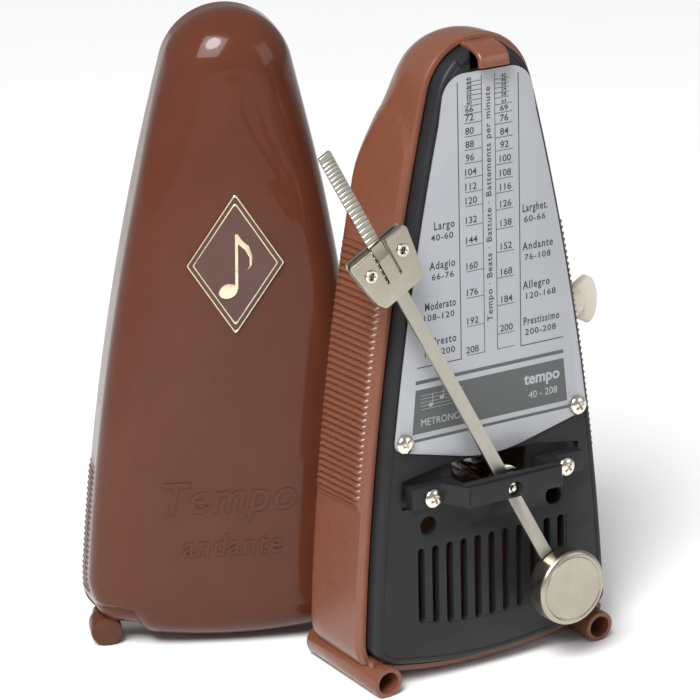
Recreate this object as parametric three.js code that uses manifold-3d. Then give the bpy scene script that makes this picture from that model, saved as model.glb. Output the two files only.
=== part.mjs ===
// A small wind-up metronome, standing open with its front cover set down beside it.
// Millimetres, +Z up. The front faces -Y and the winding key is on +X.
import * as THREE from "three";
import { mergeVertices } from "three/addons/utils/BufferGeometryUtils.js";
import Module from "manifold-3d";

const wasm = await Module();
wasm.setup();
const deg = THREE.MathUtils.degToRad;

// ---- Driving dimensions -------------------------------------------------
// Outline of the housing, seen from the front.
const height = 158; // floor to the top of the arch, measured up the lean
const footHalf = 36; // half width at the top of the bottom corners
const sideBulge = 3.4; // how far the long sides bow out at half height
const archRadius = 16;
const archStart = 14.5; // degrees above level where the arch leaves the side
const bottomLevel = 1.2; // lowest point of the curved bottom edge
const bottomRadius = 131; // curvature of the bottom edge
const cornerRadius = 8;
const lean = 3.786; // degrees that the front leans back
const frontAtFloor = -14.6; // where the panel face meets the floor

// Housing.
const rimDepth = 4; // the rim lies this far behind the panel face
const housingDepth = 27.5; // panel face to the back of the housing
const wall = 1.8;
const floorGap = 0.3; // the underside is flattened this far above the floor
const backEdge = 5; // rounding of the back edge along the sides
const backDome = 14.5; // and over the top
const domeFrom = 112; // height where the edge starts to swell into the dome
const ribCount = 42;
const ribBottom = 45;
const ribTop = 111;
const ribHeight = 0.7;
const padHeight = 1.0;
const padFront = 5;
const padBack = 23.5;
const tabWidth = 8.4;
const tabHeight = 7;
const tabReach = 7.5;

// Feet.
const footInset = 4.6; // tube centre inside the widest point of the housing
const tubeRadius = 3.9;
const tubeBore = 2.7;
const tubeLength = 31;
const footFlat = 0.15; // worn flat on the underside

// Front panel and scale.
const fit = 0.3; // clearance between pieces that sit in one another
const seat = 0.2; // gap under pieces that lie on a face
const panelThick = 2;
const panelSkirt = 9;
const panelRound = 0.8;
const slotCount = 11;
const slotPitch = 4.114;
const slotWidth = 1.85;
const slotTop = 35.2;
const slotBottom = 13.9;
const slotArc = 85;
const ventRadius = 2.27;
const ventGauge = 18.4;
const ventHeight = 40.75;
const openingHalf = 11;
const openingLow = 44;
const openingHigh = 55;
const plateThick = 0.5;
const plateMargin = 3.2; // inside the housing outline
const plateDrop = 8.2; // top of the plate below the apex
const plateCorner = 5.5;
const plateBottom = 54.5;
const plateShoulder = 60.5;
const scaleScrewGauge = 25.2;
const scaleScrewHeight = 62.7;

// Bridge.
const pivotHeight = 48.9;
const bridgeHalf = 14.3;
const bridgeFront = 10.3;
const bridgeThick = 2;
const bridgeLow = 46.9;
const bridgeHigh = 52;
const earReach = 25.5;
const earFront = 3.5;
const bridgeScrewGauge = 19.5;
const screwHead = 2.35;
const screwShank = 0.9;

// Pendulum.
const swing = 29; // degrees to the left at which it stands
const axleRadius = 1.5;
const axleBack = 19.4;
const rodWidth = 3.4;
const rodThick = 0.9;
const rodFront = 7.2;
const rodTop = 102.3;
const rodTail = 37.5;
const notchFirst = 64;
const notchPitchLow = 2.1;
const notchPitchHigh = 1.05;
const notchDepth = 0.3;
const hubRadius = 4.5;
const bobDrop = 32.2;
const bobRadius = 9.4;
const bobFront = 12;
const bobThick = 5.8;
const bobSkin = 0.8;
const palletReach = 6;

// Sliding weight.
const weightTop = 75.8; // along the rod, from the pivot
const weightLength = 14.8;
const weightTopHalf = 9;
const weightBottomHalf = 6.6;
const weightPlate = 0.9;
const tongueWidth = 3.2;
const tongueLength = 10;
const tongueSlot = 0.8;
const eyeletRadius = 1.6;
const eyeletHole = 0.9;
const eyeletGauge = 5;

// Movement. Its plates stand front to back and all its arbors run across.
const plateGauge = 12.4; // centre plane to the middle of each plate
const movePlate = 1.2;
const moveFront = 3.6;
const moveBack = 23.4;
const moveLow = 44;
const moveHigh = 97.4;
const barrelAt = [13.5, 84]; // depth and height of the barrel arbor
const arborRadius = 1.6;
const greatTeeth = 32;
const greatModule = 0.6;
const pinionTeeth = 8;
const secondTeeth = 30;
const secondModule = 0.5;
const secondAngle = -83; // direction from the barrel down to the second arbor
const escapeAngle = -99;
const drumRadius = 8.4;
const drumWall = 0.7;
const drumStart = -8.3;
const drumLength = 13.2;
const starTeeth = 15;
const starRadius = 6.5;
const starGauge = 3;
const ratchetTeeth = 18;
const ratchetRadius = 6.5;
const pinRadius = 0.8;
const keyGap = 1.2; // clear of the ribs
const keyLength = 9.8;
const keyTall = 12;
const keyThick = 3.2;

// Front cover and where it has been set down.
const coverDepth = 15.5; // front of the cover ahead of the panel face
const coverEdge = 9;
const coverDome = 13;
const stubFront = -20.5;
const plugLength = 6;
const badgeWide = 23.8;
const badgeTall = 35;
const badgeHeight = 98;
const badgeThick = 0.9;
const coverBehind = 17.4; // set back by this much more than the housing is wide
const coverAside = 0.7; // and this much further to the left
const coverTurn = -23.3;

// ---- Materials ----------------------------------------------------------
const finish = (color, roughness, metalness) => () =>
  new THREE.MeshStandardMaterial({ color, roughness, metalness });
const brown = finish(0x84452f, 0.3, 0);
const black = finish(0x1d1e21, 0.5, 0);
const silver = finish(0xc3c5ca, 0.45, 0.6);
const nickel = finish(0xd6d1c2, 0.25, 1);
const steel = finish(0x9b9ea3, 0.35, 1);
const brass = finish(0xb89149, 0.35, 1);
const lead = finish(0x5f6268, 0.6, 0.8);
const ivory = finish(0xe7dfc8, 0.4, 0);

// ---- Solids -------------------------------------------------------------
function solid(geometry) {
  const bare = new THREE.BufferGeometry();
  bare.setAttribute("position", geometry.getAttribute("position"));
  bare.setIndex(geometry.index);
  const merged = mergeVertices(bare, 1e-4);
  return new wasm.Manifold(
    new wasm.Mesh({
      numProp: 3,
      vertProperties: new Float32Array(merged.attributes.position.array),
      triVerts: new Uint32Array(merged.index.array),
    }),
  );
}

function geometryOf(body) {
  const mesh = body.getMesh();
  const geometry = new THREE.BufferGeometry();
  geometry.setAttribute("position", new THREE.BufferAttribute(mesh.vertProperties, 3));
  geometry.setIndex(new THREE.BufferAttribute(mesh.triVerts, 1));
  geometry.computeVertexNormals();
  return geometry;
}

const join = (bodies) => bodies.reduce((all, next) => all.add(next));
const cut = (body, tools) => tools.reduce((rest, tool) => rest.subtract(tool), body);

// A block given by its two corners.
function block(x0, x1, y0, y1, z0, z1) {
  const geometry = new THREE.BoxGeometry(x1 - x0, y1 - y0, z1 - z0);
  geometry.translate((x0 + x1) / 2, (y0 + y1) / 2, (z0 + z1) / 2);
  return solid(geometry);
}

// A round bar along an axis, from one place to another, centred on the two other coordinates.
function bar(axis, radius, from, to, first, second, sides = 24) {
  const geometry = new THREE.CylinderGeometry(radius, radius, to - from, sides);
  const middle = (from + to) / 2;
  if (axis === "x") geometry.rotateZ(-Math.PI / 2).translate(middle, first, second);
  if (axis === "y") geometry.translate(first, middle, second);
  if (axis === "z") geometry.rotateX(Math.PI / 2).translate(first, second, middle);
  return solid(geometry);
}

// Turned piece: the profile lists [radius, depth] pairs round the Y axis.
function turned(profile, x, z, sides = 32) {
  const points = profile.map(([r, y]) => new THREE.Vector2(r, y));
  const geometry = new THREE.LatheGeometry(points, sides);
  return solid(geometry.translate(x, 0, z));
}

// A closed skin through rings of points that match one to one.
function loft(rings) {
  const count = rings[0].length;
  const last = rings.length - 1;
  const points = rings.flat();
  const centre = (ring) =>
    ring.reduce((sum, p) => sum.map((v, i) => v + p[i] / ring.length), [0, 0, 0]);
  points.push(centre(rings[0]), centre(rings[last]));
  const index = [];
  for (let i = 0; i < count; i++) {
    const next = (i + 1) % count;
    for (let r = 0; r < last; r++) {
      const a = r * count + i;
      const b = r * count + next;
      index.push(a, b, b + count, a, b + count, a + count);
    }
    index.push(points.length - 2, next, i);
    index.push(points.length - 1, last * count + i, last * count + next);
  }
  const geometry = new THREE.BufferGeometry();
  geometry.setAttribute("position", new THREE.Float32BufferAttribute(points.flat(), 3));
  geometry.setIndex(index);
  return solid(geometry);
}

// A flat shape given as [x, z] corners, spread over a span of depth.
function slab(corners, from, to, holes = []) {
  const shape = new THREE.Shape(corners.map(([x, z]) => new THREE.Vector2(x, z)));
  for (const hole of holes) {
    shape.holes.push(new THREE.Path(hole.map(([x, z]) => new THREE.Vector2(x, z))));
  }
  const geometry = new THREE.ExtrudeGeometry(shape, { depth: to - from, bevelEnabled: false });
  return solid(geometry.rotateX(Math.PI / 2).translate(0, to, 0));
}

// The same for [depth, z] corners spread over a span of width.
function sideSlab(corners, from, to) {
  const shape = new THREE.Shape(corners.map(([y, z]) => new THREE.Vector2(y, z)));
  const geometry = new THREE.ExtrudeGeometry(shape, { depth: to - from, bevelEnabled: false });
  geometry.rotateX(Math.PI / 2).rotateZ(Math.PI / 2).translate(from, 0, 0);
  return solid(geometry);
}

function circle(x, z, radius, sides) {
  const corners = [];
  for (let i = 0; i < sides; i++) {
    const turn = (2 * Math.PI * i) / sides;
    corners.push([x + radius * Math.cos(turn), z + radius * Math.sin(turn)]);
  }
  return corners;
}

// ---- The outline that every shell follows -------------------------------
const archCentre = height - archRadius;
const sideTop = archCentre + archRadius * Math.sin(deg(archStart));
const sideTopHalf = archRadius * Math.cos(deg(archStart));
const cornerX = footHalf - cornerRadius;
const cornerZ = bottomLevel + cornerX ** 2 / (2 * bottomRadius) + cornerRadius;

function halfWidth(z) {
  const t = (z - cornerZ) / (sideTop - cornerZ);
  return footHalf + (sideTopHalf - footHalf) * t + 4 * sideBulge * t * (1 - t);
}

// Right-hand half of the outline from the bottom centre to the apex, moved in by an inset
// that may change with height.
function halfOutline(insetAt) {
  const points = [];
  const bottomSlope = Math.atan(cornerX / bottomRadius);
  for (const share of [0, 0.25, 0.5, 0.75, 0.92]) {
    const x = cornerX * share;
    points.push([x, bottomLevel + x ** 2 / (2 * bottomRadius) + insetAt(bottomLevel)]);
  }
  for (let i = 0; i <= 4; i++) {
    const turn = -Math.PI / 2 + bottomSlope + ((Math.PI / 2 - bottomSlope) * i) / 4;
    const radius = Math.max(cornerRadius - insetAt(cornerZ), 0.6);
    const back = cornerRadius - insetAt(cornerZ) - radius;
    points.push([
      cornerX + back + radius * Math.cos(turn),
      cornerZ - back + radius * Math.sin(turn),
    ]);
  }
  for (let i = 1; i <= 9; i++) {
    const z = cornerZ + ((sideTop - cornerZ) * i) / 10;
    points.push([halfWidth(z) - insetAt(z), z]);
  }
  for (let i = 0; i <= 6; i++) {
    const turn = deg(archStart) + ((Math.PI / 2 - deg(archStart)) * i) / 6;
    const z = archCentre + archRadius * Math.sin(turn);
    const radius = archRadius - insetAt(z);
    points.push([radius * Math.cos(turn), archCentre + radius * Math.sin(turn)]);
  }
  points[0][0] = 0;
  points[points.length - 1][0] = 0;
  return points;
}

// The whole outline as a ring at a depth. Depth and inset may both change with height.
function ring(insetAt, depthAt) {
  const right = halfOutline(insetAt);
  const left = right.slice(1, -1).reverse();
  const heights = halfOutline(() => 0).map((p) => p[1]);
  const leftHeights = heights.slice(1, -1).reverse();
  return [
    ...right.map(([x, z], i) => [x, depthAt(heights[i]), z]),
    ...left.map(([x, z], i) => [-x, depthAt(leftHeights[i]), z]),
  ];
}

const footGauge = footHalf - footInset;
const plateTop = height - plateDrop;
const keyStart = halfWidth(barrelAt[1]) + padHeight + ribHeight + keyGap;
const keyReach = keyStart + keyLength;
const always = (value) => () => value;
const smooth = (t) => THREE.MathUtils.smoothstep(t, 0, 1);
const swell = (edge, dome) => (z) =>
  edge + (dome - edge) * smooth((z - domeFrom) / (archCentre - domeFrom));

// A tray: straight from one depth, then rounded over to a flat end.
function tray(inset, from, to, roundAt, steps = 4) {
  const side = Math.sign(to - from);
  const rings = [ring(always(inset), always(from))];
  for (let i = 0; i <= steps; i++) {
    const turn = ((Math.PI / 2) * i) / steps;
    rings.push(
      ring(
        (z) => inset + roundAt(z) * (1 - Math.cos(turn)),
        (z) => to - side * roundAt(z) * (1 - Math.sin(turn)),
      ),
    );
  }
  if (side > 0) rings.reverse();
  return loft(rings);
}

// ---- Scene graph --------------------------------------------------------
const metronome = new THREE.Group();
const leaning = new THREE.Group();
leaning.position.y = frontAtFloor;
leaning.rotation.x = -deg(lean);
metronome.add(leaning);
const pendulum = new THREE.Group();
pendulum.position.z = pivotHeight;
pendulum.rotation.y = -deg(swing);
leaning.add(pendulum);
const cover = new THREE.Group();
cover.position.set(-footHalf - coverAside, footHalf + coverBehind, 0);
cover.rotation.z = deg(coverTurn);
metronome.add(cover);

function place(group, name, body, material) {
  const mesh = new THREE.Mesh(geometryOf(body), material());
  mesh.name = name;
  group.add(mesh);
}

// Carries a solid between the upright frame and the leaning one.
const stand = (body) => body.rotate([-lean, 0, 0]).translate([0, frontAtFloor, 0]);
const tip = (body) => body.translate([0, -frontAtFloor, 0]).rotate([lean, 0, 0]);

// ---- Housing ------------------------------------------------------------
function ribPad(side) {
  const corners = [];
  const pitch = (ribTop - ribBottom) / ribCount;
  for (let i = 0; i < ribCount; i++) {
    const z = ribBottom + pitch * i;
    const ends = Math.min(1, (i + 1) / 4, (ribCount - i) / 4);
    const base = halfWidth(z) + padHeight * ends;
    corners.push([side * base, z]);
    corners.push([side * (base + ribHeight * ends), z + pitch / 2]);
  }
  corners.push([side * (halfWidth(ribTop) - wall / 2), ribTop]);
  corners.push([side * (halfWidth((ribTop + ribBottom) / 2) - wall / 2), (ribTop + ribBottom) / 2]);
  corners.push([side * (halfWidth(ribBottom) - wall / 2), ribBottom]);
  if (side < 0) corners.reverse();
  return slab(corners, padFront, padBack);
}

function clipTab() {
  const root = height - wall - 1;
  const lip = block(-tabWidth / 2, tabWidth / 2, rimDepth - tabReach, rimDepth - tabReach + 1.6,
    height - tabHeight, height - 0.4);
  const arm = block(-tabWidth / 2, tabWidth / 2, rimDepth - tabReach, rimDepth + 4, root, height - 0.4);
  return lip.add(arm);
}

function footTube(side, from, to, bore) {
  const centre = tubeRadius - footFlat;
  const tube = bar("y", tubeRadius, from, to, side * footGauge, centre, 28);
  const hole = bar("y", bore, from - 1, to - 3, side * footGauge, centre, 20);
  const floor = block(-99, 99, -99, 99, -9, 0);
  return bore > 0 ? cut(tube, [hole, floor]) : cut(tube, [floor]);
}

// Room for the foot tubes, in the leaning frame.
function footRooms() {
  return [-1, 1].map((side) =>
    tip(bar("y", tubeRadius + fit, -40, 40, side * footGauge, tubeRadius - footFlat, 28)),
  );
}

function housingShell() {
  const outer = tray(0, rimDepth, housingDepth, swell(backEdge, backDome));
  const inner = tray(wall, rimDepth - 1, housingDepth - wall, swell(backEdge - wall, backDome - wall));
  const body = cut(join([outer, ribPad(1), ribPad(-1)]), [inner]).add(clipTab());
  const keyHole = bar("x", arborRadius + 1, 0, footHalf + 9, barrelAt[0], barrelAt[1]);
  const screws = caseScrewPlaces().map(([x, z]) =>
    bar("y", screwShank + fit, housingDepth - 5, housingDepth + 1, x, z, 16),
  );
  const underside = tip(block(-99, 99, -99, 99, -9, floorGap));
  return cut(body, [keyHole, underside, ...screws, ...footRooms()]);
}

place(leaning, "housing_shell", housingShell(), brown);
place(metronome, "foot_tube_left", footTube(-1, -tubeLength / 2, tubeLength / 2, tubeBore), brown);
place(metronome, "foot_tube_right", footTube(1, -tubeLength / 2, tubeLength / 2, tubeBore), brown);

// ---- Front panel --------------------------------------------------------
function soundSlot(index) {
  const x = (index - (slotCount - 1) / 2) * slotPitch;
  const low = slotBottom + x ** 2 / (2 * slotArc) + slotWidth / 2;
  const high = slotTop - slotWidth / 2;
  const corners = [];
  for (let i = 0; i <= 4; i++) {
    const turn = (Math.PI * i) / 4;
    corners.push([x + (slotWidth / 2) * Math.cos(turn), high + (slotWidth / 2) * Math.sin(turn)]);
  }
  for (let i = 0; i <= 4; i++) {
    const turn = Math.PI + (Math.PI * i) / 4;
    corners.push([x + (slotWidth / 2) * Math.cos(turn), low + (slotWidth / 2) * Math.sin(turn)]);
  }
  return slab(corners, -1, panelThick + 1);
}

function frontPanel() {
  const inset = wall + fit;
  const outer = tray(inset, panelSkirt, 0, always(panelRound), 2);
  const inner = tray(inset + 1.6, panelSkirt + 1, panelThick, always(0.4), 1);
  const tools = [inner];
  for (let i = 0; i < slotCount; i++) tools.push(soundSlot(i));
  for (const side of [-1, 1]) {
    tools.push(bar("y", ventRadius, -1, panelThick + 1, side * ventGauge, ventHeight));
    tools.push(bar("y", screwShank + fit, -1, 4, side * scaleScrewGauge, scaleScrewHeight, 16));
    tools.push(bar("y", screwShank + fit, -1, 4, side * bridgeScrewGauge, pivotHeight, 16));
  }
  tools.push(block(-openingHalf, openingHalf, -1, 4, openingLow, openingHigh));
  const notch = tabWidth / 2 + fit;
  tools.push(block(-notch, notch, -2, panelSkirt + 1, height - wall - 1 - fit, height));
  return cut(outer, [...tools, ...footRooms()]);
}

function scalePlate() {
  const right = [[0, plateBottom], [scaleScrewGauge - 4, plateShoulder - 1]];
  const edge = (z) => halfWidth(z) - plateMargin;
  for (let i = 0; i <= 3; i++) {
    const turn = -Math.PI / 3 + ((Math.PI / 3) * i) / 3;
    right.push([
      edge(plateShoulder + 2) - 2 + 2 * Math.cos(turn),
      plateShoulder + 2 + 2 * Math.sin(turn),
    ]);
  }
  const shoulder = plateTop - plateCorner;
  for (let i = 1; i <= 9; i++) {
    const z = plateShoulder + 2 + ((shoulder - plateShoulder - 2) * i) / 9;
    right.push([edge(z), z]);
  }
  for (let i = 1; i <= 6; i++) {
    const turn = ((Math.PI / 2) * i) / 6;
    right.push([
      edge(shoulder) - plateCorner + plateCorner * Math.cos(turn),
      shoulder + plateCorner * Math.sin(turn),
    ]);
  }
  const left = right.slice(1).reverse().map(([x, z]) => [-x, z]);
  const holes = [-1, 1].map((side) =>
    circle(side * scaleScrewGauge, scaleScrewHeight, screwShank + fit, 16),
  );
  return slab([...right, ...left], -seat - plateThick, -seat, holes);
}

// Pan-head screw with a cross recess, its head standing on a face that looks forward.
function screw(x, z, face, length, side = -1) {
  const dome = 1.25;
  const profile = [[0, -dome], [screwHead * 0.6, -dome * 0.88], [screwHead * 0.93, -dome * 0.45],
    [screwHead, 0], [screwShank, 0], [screwShank, length], [0, length]];
  const body = turned(profile, 0, 0, 14);
  const arms = [
    block(-0.3, 0.3, -dome - 1, -dome + 0.7, -screwHead * 0.55, screwHead * 0.55),
    block(-screwHead * 0.55, screwHead * 0.55, -dome - 1, -dome + 0.7, -0.3, 0.3),
  ];
  const made = cut(body, arms);
  return (side > 0 ? made.rotate([180, 0, 0]) : made).translate([x, face, z]);
}

place(leaning, "front_panel", frontPanel(), black);
place(leaning, "scale_plate", scalePlate(), silver);
for (const [side, word] of [[-1, "left"], [1, "right"]]) {
  const plateFace = -2 * seat - plateThick;
  place(leaning, "scale_screw_" + word,
    screw(side * scaleScrewGauge, scaleScrewHeight, plateFace, 3.5), nickel);
  place(leaning, "bridge_screw_" + word,
    screw(side * bridgeScrewGauge, pivotHeight, -earFront - seat, 6.5), nickel);
}

// ---- Bridge -------------------------------------------------------------
function bridge() {
  const back = -bridgeFront + bridgeThick;
  const parts = [block(-bridgeHalf, bridgeHalf, -bridgeFront, back, bridgeLow, bridgeHigh)];
  for (const side of [-1, 1]) {
    const corners = [
      [side * (bridgeHalf - 2), back - 0.5],
      [side * bridgeHalf, back - 0.5],
      [side * (bridgeHalf + 2.6), -earFront],
      [side * earReach, -earFront],
      [side * earReach, -seat],
      [side * (bridgeHalf - 2), -seat],
    ];
    if (side < 0) corners.reverse();
    const shape = new THREE.Shape(corners.map(([x, y]) => new THREE.Vector2(x, y)));
    const geometry = new THREE.ExtrudeGeometry(shape, {
      depth: bridgeHigh - bridgeLow - 0.2,
      bevelEnabled: false,
    });
    parts.push(solid(geometry.translate(0, 0, bridgeLow + 0.1)));
  }
  const tools = [bar("y", axleRadius + fit, -bridgeFront - 1, back + 1, 0, pivotHeight)];
  for (const side of [-1, 1]) {
    tools.push(bar("y", screwShank + fit, -9, 1, side * bridgeScrewGauge, pivotHeight, 16));
  }
  return cut(join(parts), tools);
}

place(leaning, "bridge", bridge(), black);

// ---- Movement frame -----------------------------------------------------
const along = ([y, z], distance, angle) => [
  y + distance * Math.cos(deg(angle)),
  z + distance * Math.sin(deg(angle)),
];
const secondAt = along(barrelAt, ((greatTeeth + pinionTeeth) * greatModule) / 2, secondAngle);
const escapeAt = along(secondAt, ((secondTeeth + pinionTeeth) * secondModule) / 2, escapeAngle);
const innerFace = plateGauge - movePlate / 2;
const pillarPlaces = [[6, moveHigh - 2.4], [5.6, escapeAt[1] + 4.8]];
const clickAt = [barrelAt[0] + 7, barrelAt[1] + 8];

function caseScrewPlaces() {
  return [[-8, pivotHeight], [8, pivotHeight], [0, moveHigh - 2.6]];
}

function movementPlate(side) {
  const span = [plateGauge * side - movePlate / 2, plateGauge * side + movePlate / 2];
  const body = block(span[0], span[1], moveFront, moveBack, moveLow, moveHigh);
  const hole = ([y, z], radius) => bar("x", radius, span[0] - 1, span[1] + 1, y, z, 16);
  return cut(body, [
    hole(barrelAt, arborRadius + fit),
    hole(secondAt, pinRadius + fit),
    hole(escapeAt, pinRadius + fit),
  ]);
}

function pillar([y, z]) {
  return bar("x", 1.6, -innerFace + seat, innerFace - seat, y, z, 16);
}

function rearBar(low, high, front, back, screws) {
  const body = block(-innerFace + seat, innerFace - seat, front, back, low, high);
  return cut(body, screws.map(([x, z]) => bar("y", screwShank + fit, front - 1, back + 1, x, z, 16)));
}

const lowBar = [17, 21.6];
const [screwLeft, screwRight, screwTop] = caseScrewPlaces();
place(leaning, "movement_plate_left", movementPlate(-1), brass);
place(leaning, "movement_plate_right", movementPlate(1), brass);
place(leaning, "front_pillar_upper", pillar(pillarPlaces[0]), steel);
place(leaning, "front_pillar_lower", pillar(pillarPlaces[1]), steel);
place(leaning, "rear_bar_upper",
  rearBar(moveHigh - 4.4, moveHigh - 0.8, 19.4, 23, [screwTop]), steel);
place(leaning, "rear_bar_lower",
  cut(rearBar(pivotHeight - 2.3, pivotHeight + 2.3, lowBar[0], lowBar[1], [screwLeft, screwRight]),
    [bar("y", axleRadius - 0.4 + fit, lowBar[0] - 1, lowBar[1] + 1, 0, pivotHeight, 16)]), steel);
for (const [word, [x, z]] of [["left", screwLeft], ["right", screwRight], ["top", screwTop]]) {
  place(leaning, "case_screw_" + word, screw(x, z, housingDepth + seat, 8.5, 1), nickel);
}

// ---- Gear train ---------------------------------------------------------
// A toothed disc on an arbor across the movement.
function gear(teeth, module, from, to, [y, z], turn = 0) {
  const pitch = (module * teeth) / 2;
  const step = (2 * Math.PI) / teeth;
  const low = pitch - 1.15 * module;
  const high = pitch + 0.7 * module;
  const corners = [];
  for (let i = 0; i < teeth; i++) {
    for (const [radius, share] of [[low, -0.24], [high, -0.09], [high, 0.09], [low, 0.24]]) {
      const angle = turn + step * (i + share);
      corners.push([y + radius * Math.cos(angle), z + radius * Math.sin(angle)]);
    }
  }
  return sideSlab(corners, from, to);
}

// Slanting teeth, for the ratchet and the star wheels.
function sawWheel(teeth, radius, depth, from, to, [y, z]) {
  const step = (2 * Math.PI) / teeth;
  const corners = [];
  for (let i = 0; i < teeth; i++) {
    for (const [reach, share] of [[radius - depth, 0], [radius, 0.12], [radius - 0.1, 0.3]]) {
      const angle = step * (i + share);
      corners.push([y + reach * Math.cos(angle), z + reach * Math.sin(angle)]);
    }
  }
  return sideSlab(corners, from, to);
}

const rod = (radius, from, to, [y, z], sides = 16) => bar("x", radius, from, to, y, z, sides);

// Puts a tooth gap of the follower opposite a tooth of the driver.
function meshTurn(driverTeeth, followerTeeth, direction, driverTurn) {
  const facing = deg(direction);
  const driverPhase = ((facing - driverTurn) * driverTeeth) / (2 * Math.PI);
  const half = 0.5 - driverPhase;
  return facing + Math.PI - (half * 2 * Math.PI) / followerTeeth;
}

function barrelDrum() {
  const wheelEnd = drumStart + 0.1;
  const wheel = gear(greatTeeth, greatModule, drumStart - 1.2, wheelEnd, barrelAt);
  const drum = rod(drumRadius, drumStart, drumStart + drumLength, barrelAt, 28);
  const hollow = rod(drumRadius - drumWall, drumStart + 0.9, drumStart + drumLength + 1, barrelAt, 28);
  const bore = rod(arborRadius + fit, -20, 20, barrelAt);
  return cut(wheel.add(drum), [hollow, bore]);
}

function barrelLid() {
  const end = drumStart + drumLength;
  const disc = rod(drumRadius - drumWall - fit, end - 1.1, end - 0.1, barrelAt, 28);
  return cut(disc, [rod(arborRadius + fit, -20, 20, barrelAt)]);
}

// A coiled strip from the arbor out to the drum.
function mainspring() {
  const turns = 4;
  const steps = 16 * turns;
  const inner = arborRadius + fit + 0.3;
  const outer = drumRadius - drumWall - fit - 0.4;
  const strip = 0.35;
  const corners = [];
  const at = (i, extra) => {
    const radius = inner + ((outer - inner) * i) / steps + extra;
    const angle = (2 * Math.PI * turns * i) / steps;
    return [barrelAt[0] + radius * Math.cos(angle), barrelAt[1] + radius * Math.sin(angle)];
  };
  for (let i = 0; i <= steps; i++) corners.push(at(i, strip));
  for (let i = steps; i >= 0; i--) corners.push(at(i, 0));
  return sideSlab(corners, drumStart + 1.3, drumStart + drumLength - 1.5);
}

const secondTurn = meshTurn(greatTeeth, pinionTeeth, secondAngle, 0);
const wheelPlane = [7, 8];

function secondPinion() {
  const pinion = gear(pinionTeeth, greatModule, drumStart - 1.8, drumStart + 0.4, secondAt, secondTurn);
  return pinion.add(rod(pinRadius, -plateGauge, plateGauge, secondAt));
}

function secondWheel() {
  const wheel = gear(secondTeeth, secondModule, wheelPlane[0], wheelPlane[1], secondAt);
  return cut(wheel, [rod(pinRadius + 0.1, 0, 12, secondAt)]);
}

function escapePinion() {
  const turn = meshTurn(secondTeeth, pinionTeeth, escapeAngle, 0);
  const pinion = gear(pinionTeeth, secondModule, wheelPlane[0] - 0.5, wheelPlane[1] + 0.5, escapeAt, turn);
  return pinion.add(rod(pinRadius, -plateGauge, plateGauge, escapeAt));
}

function starWheel(side) {
  const from = side * starGauge - 0.4;
  const disc = sawWheel(starTeeth, starRadius, 1.6, from, from + 0.8, escapeAt);
  return cut(disc, [rod(pinRadius + 0.1, -9, 9, escapeAt)]);
}

place(leaning, "barrel_drum", barrelDrum(), brass);
place(leaning, "barrel_lid", barrelLid(), brass);
place(leaning, "mainspring", mainspring(), steel);
place(leaning, "second_pinion", secondPinion(), steel);
place(leaning, "second_wheel", secondWheel(), brass);
place(leaning, "escape_pinion", escapePinion(), steel);
place(leaning, "star_wheel_left", starWheel(-1), brass);
place(leaning, "star_wheel_right", starWheel(1), brass);

// ---- Winding work -------------------------------------------------------
const ratchetPlane = [plateGauge + movePlate / 2 + 0.9, plateGauge + movePlate / 2 + 2.3];

function windingArbor() {
  return rod(arborRadius, -plateGauge, keyReach - 7, barrelAt);
}

function ratchetWheel() {
  const wheel = sawWheel(ratchetTeeth, ratchetRadius, 1, ratchetPlane[0], ratchetPlane[1], barrelAt);
  return cut(wheel, [rod(arborRadius + 0.1, 0, 30, barrelAt)]);
}

function windingKey() {
  const hub = rod(4, keyStart, keyStart + 4.4, barrelAt, 28);
  const [y, z] = barrelAt;
  const half = keyTall / 2;
  const corners = [[keyStart + 2, z - 3.4]];
  for (let i = 0; i <= 8; i++) {
    const turn = -Math.PI / 2 + (Math.PI * i) / 8;
    corners.push([keyReach - 3 + 3 * Math.cos(turn), z + half * Math.sin(turn)]);
  }
  corners.push([keyStart + 2, z + 3.4]);
  const wing = slab(corners, y - keyThick / 2, y + keyThick / 2);
  return cut(hub.add(wing), [rod(arborRadius + 0.1, keyStart - 1, keyReach - 6.9, barrelAt)]);
}

function click() {
  const reach = ratchetRadius + fit + 0.25;
  const [y, z] = clickAt;
  const nose = along(barrelAt, reach, 58);
  const arm = sideSlab([
    [y - 0.3, z - 1.7],
    [y + 0.9, z + 1.4],
    [nose[0] - 0.2, nose[1] + 1.5],
    nose,
    [nose[0] + 0.7, nose[1] - 0.1],
  ], ratchetPlane[0] + 0.1, ratchetPlane[1] - 0.1);
  const eye = rod(1.9, ratchetPlane[0] + 0.1, ratchetPlane[1] - 0.1, clickAt);
  return cut(eye.add(arm), [rod(pinRadius + fit, 0, 30, clickAt)]);
}

function clickPost() {
  const start = plateGauge + movePlate / 2 + seat;
  const post = rod(pinRadius, start, ratchetPlane[1] + 0.3, clickAt);
  return post.add(rod(1.7, ratchetPlane[1] + 0.2, ratchetPlane[1] + 1, clickAt));
}

function clickSpring() {
  const geometry = new THREE.TorusGeometry(1.5, 0.22, 5, 12).rotateY(Math.PI / 2);
  return solid(geometry.translate(plateGauge + movePlate / 2 + 0.5, clickAt[0], clickAt[1]));
}

place(leaning, "winding_arbor", windingArbor(), steel);
place(leaning, "ratchet_wheel", ratchetWheel(), steel);
place(leaning, "winding_key", windingKey(), ivory);
place(leaning, "click", click(), steel);
place(leaning, "click_post", clickPost(), steel);
place(leaning, "click_spring", clickSpring(), steel);

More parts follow.
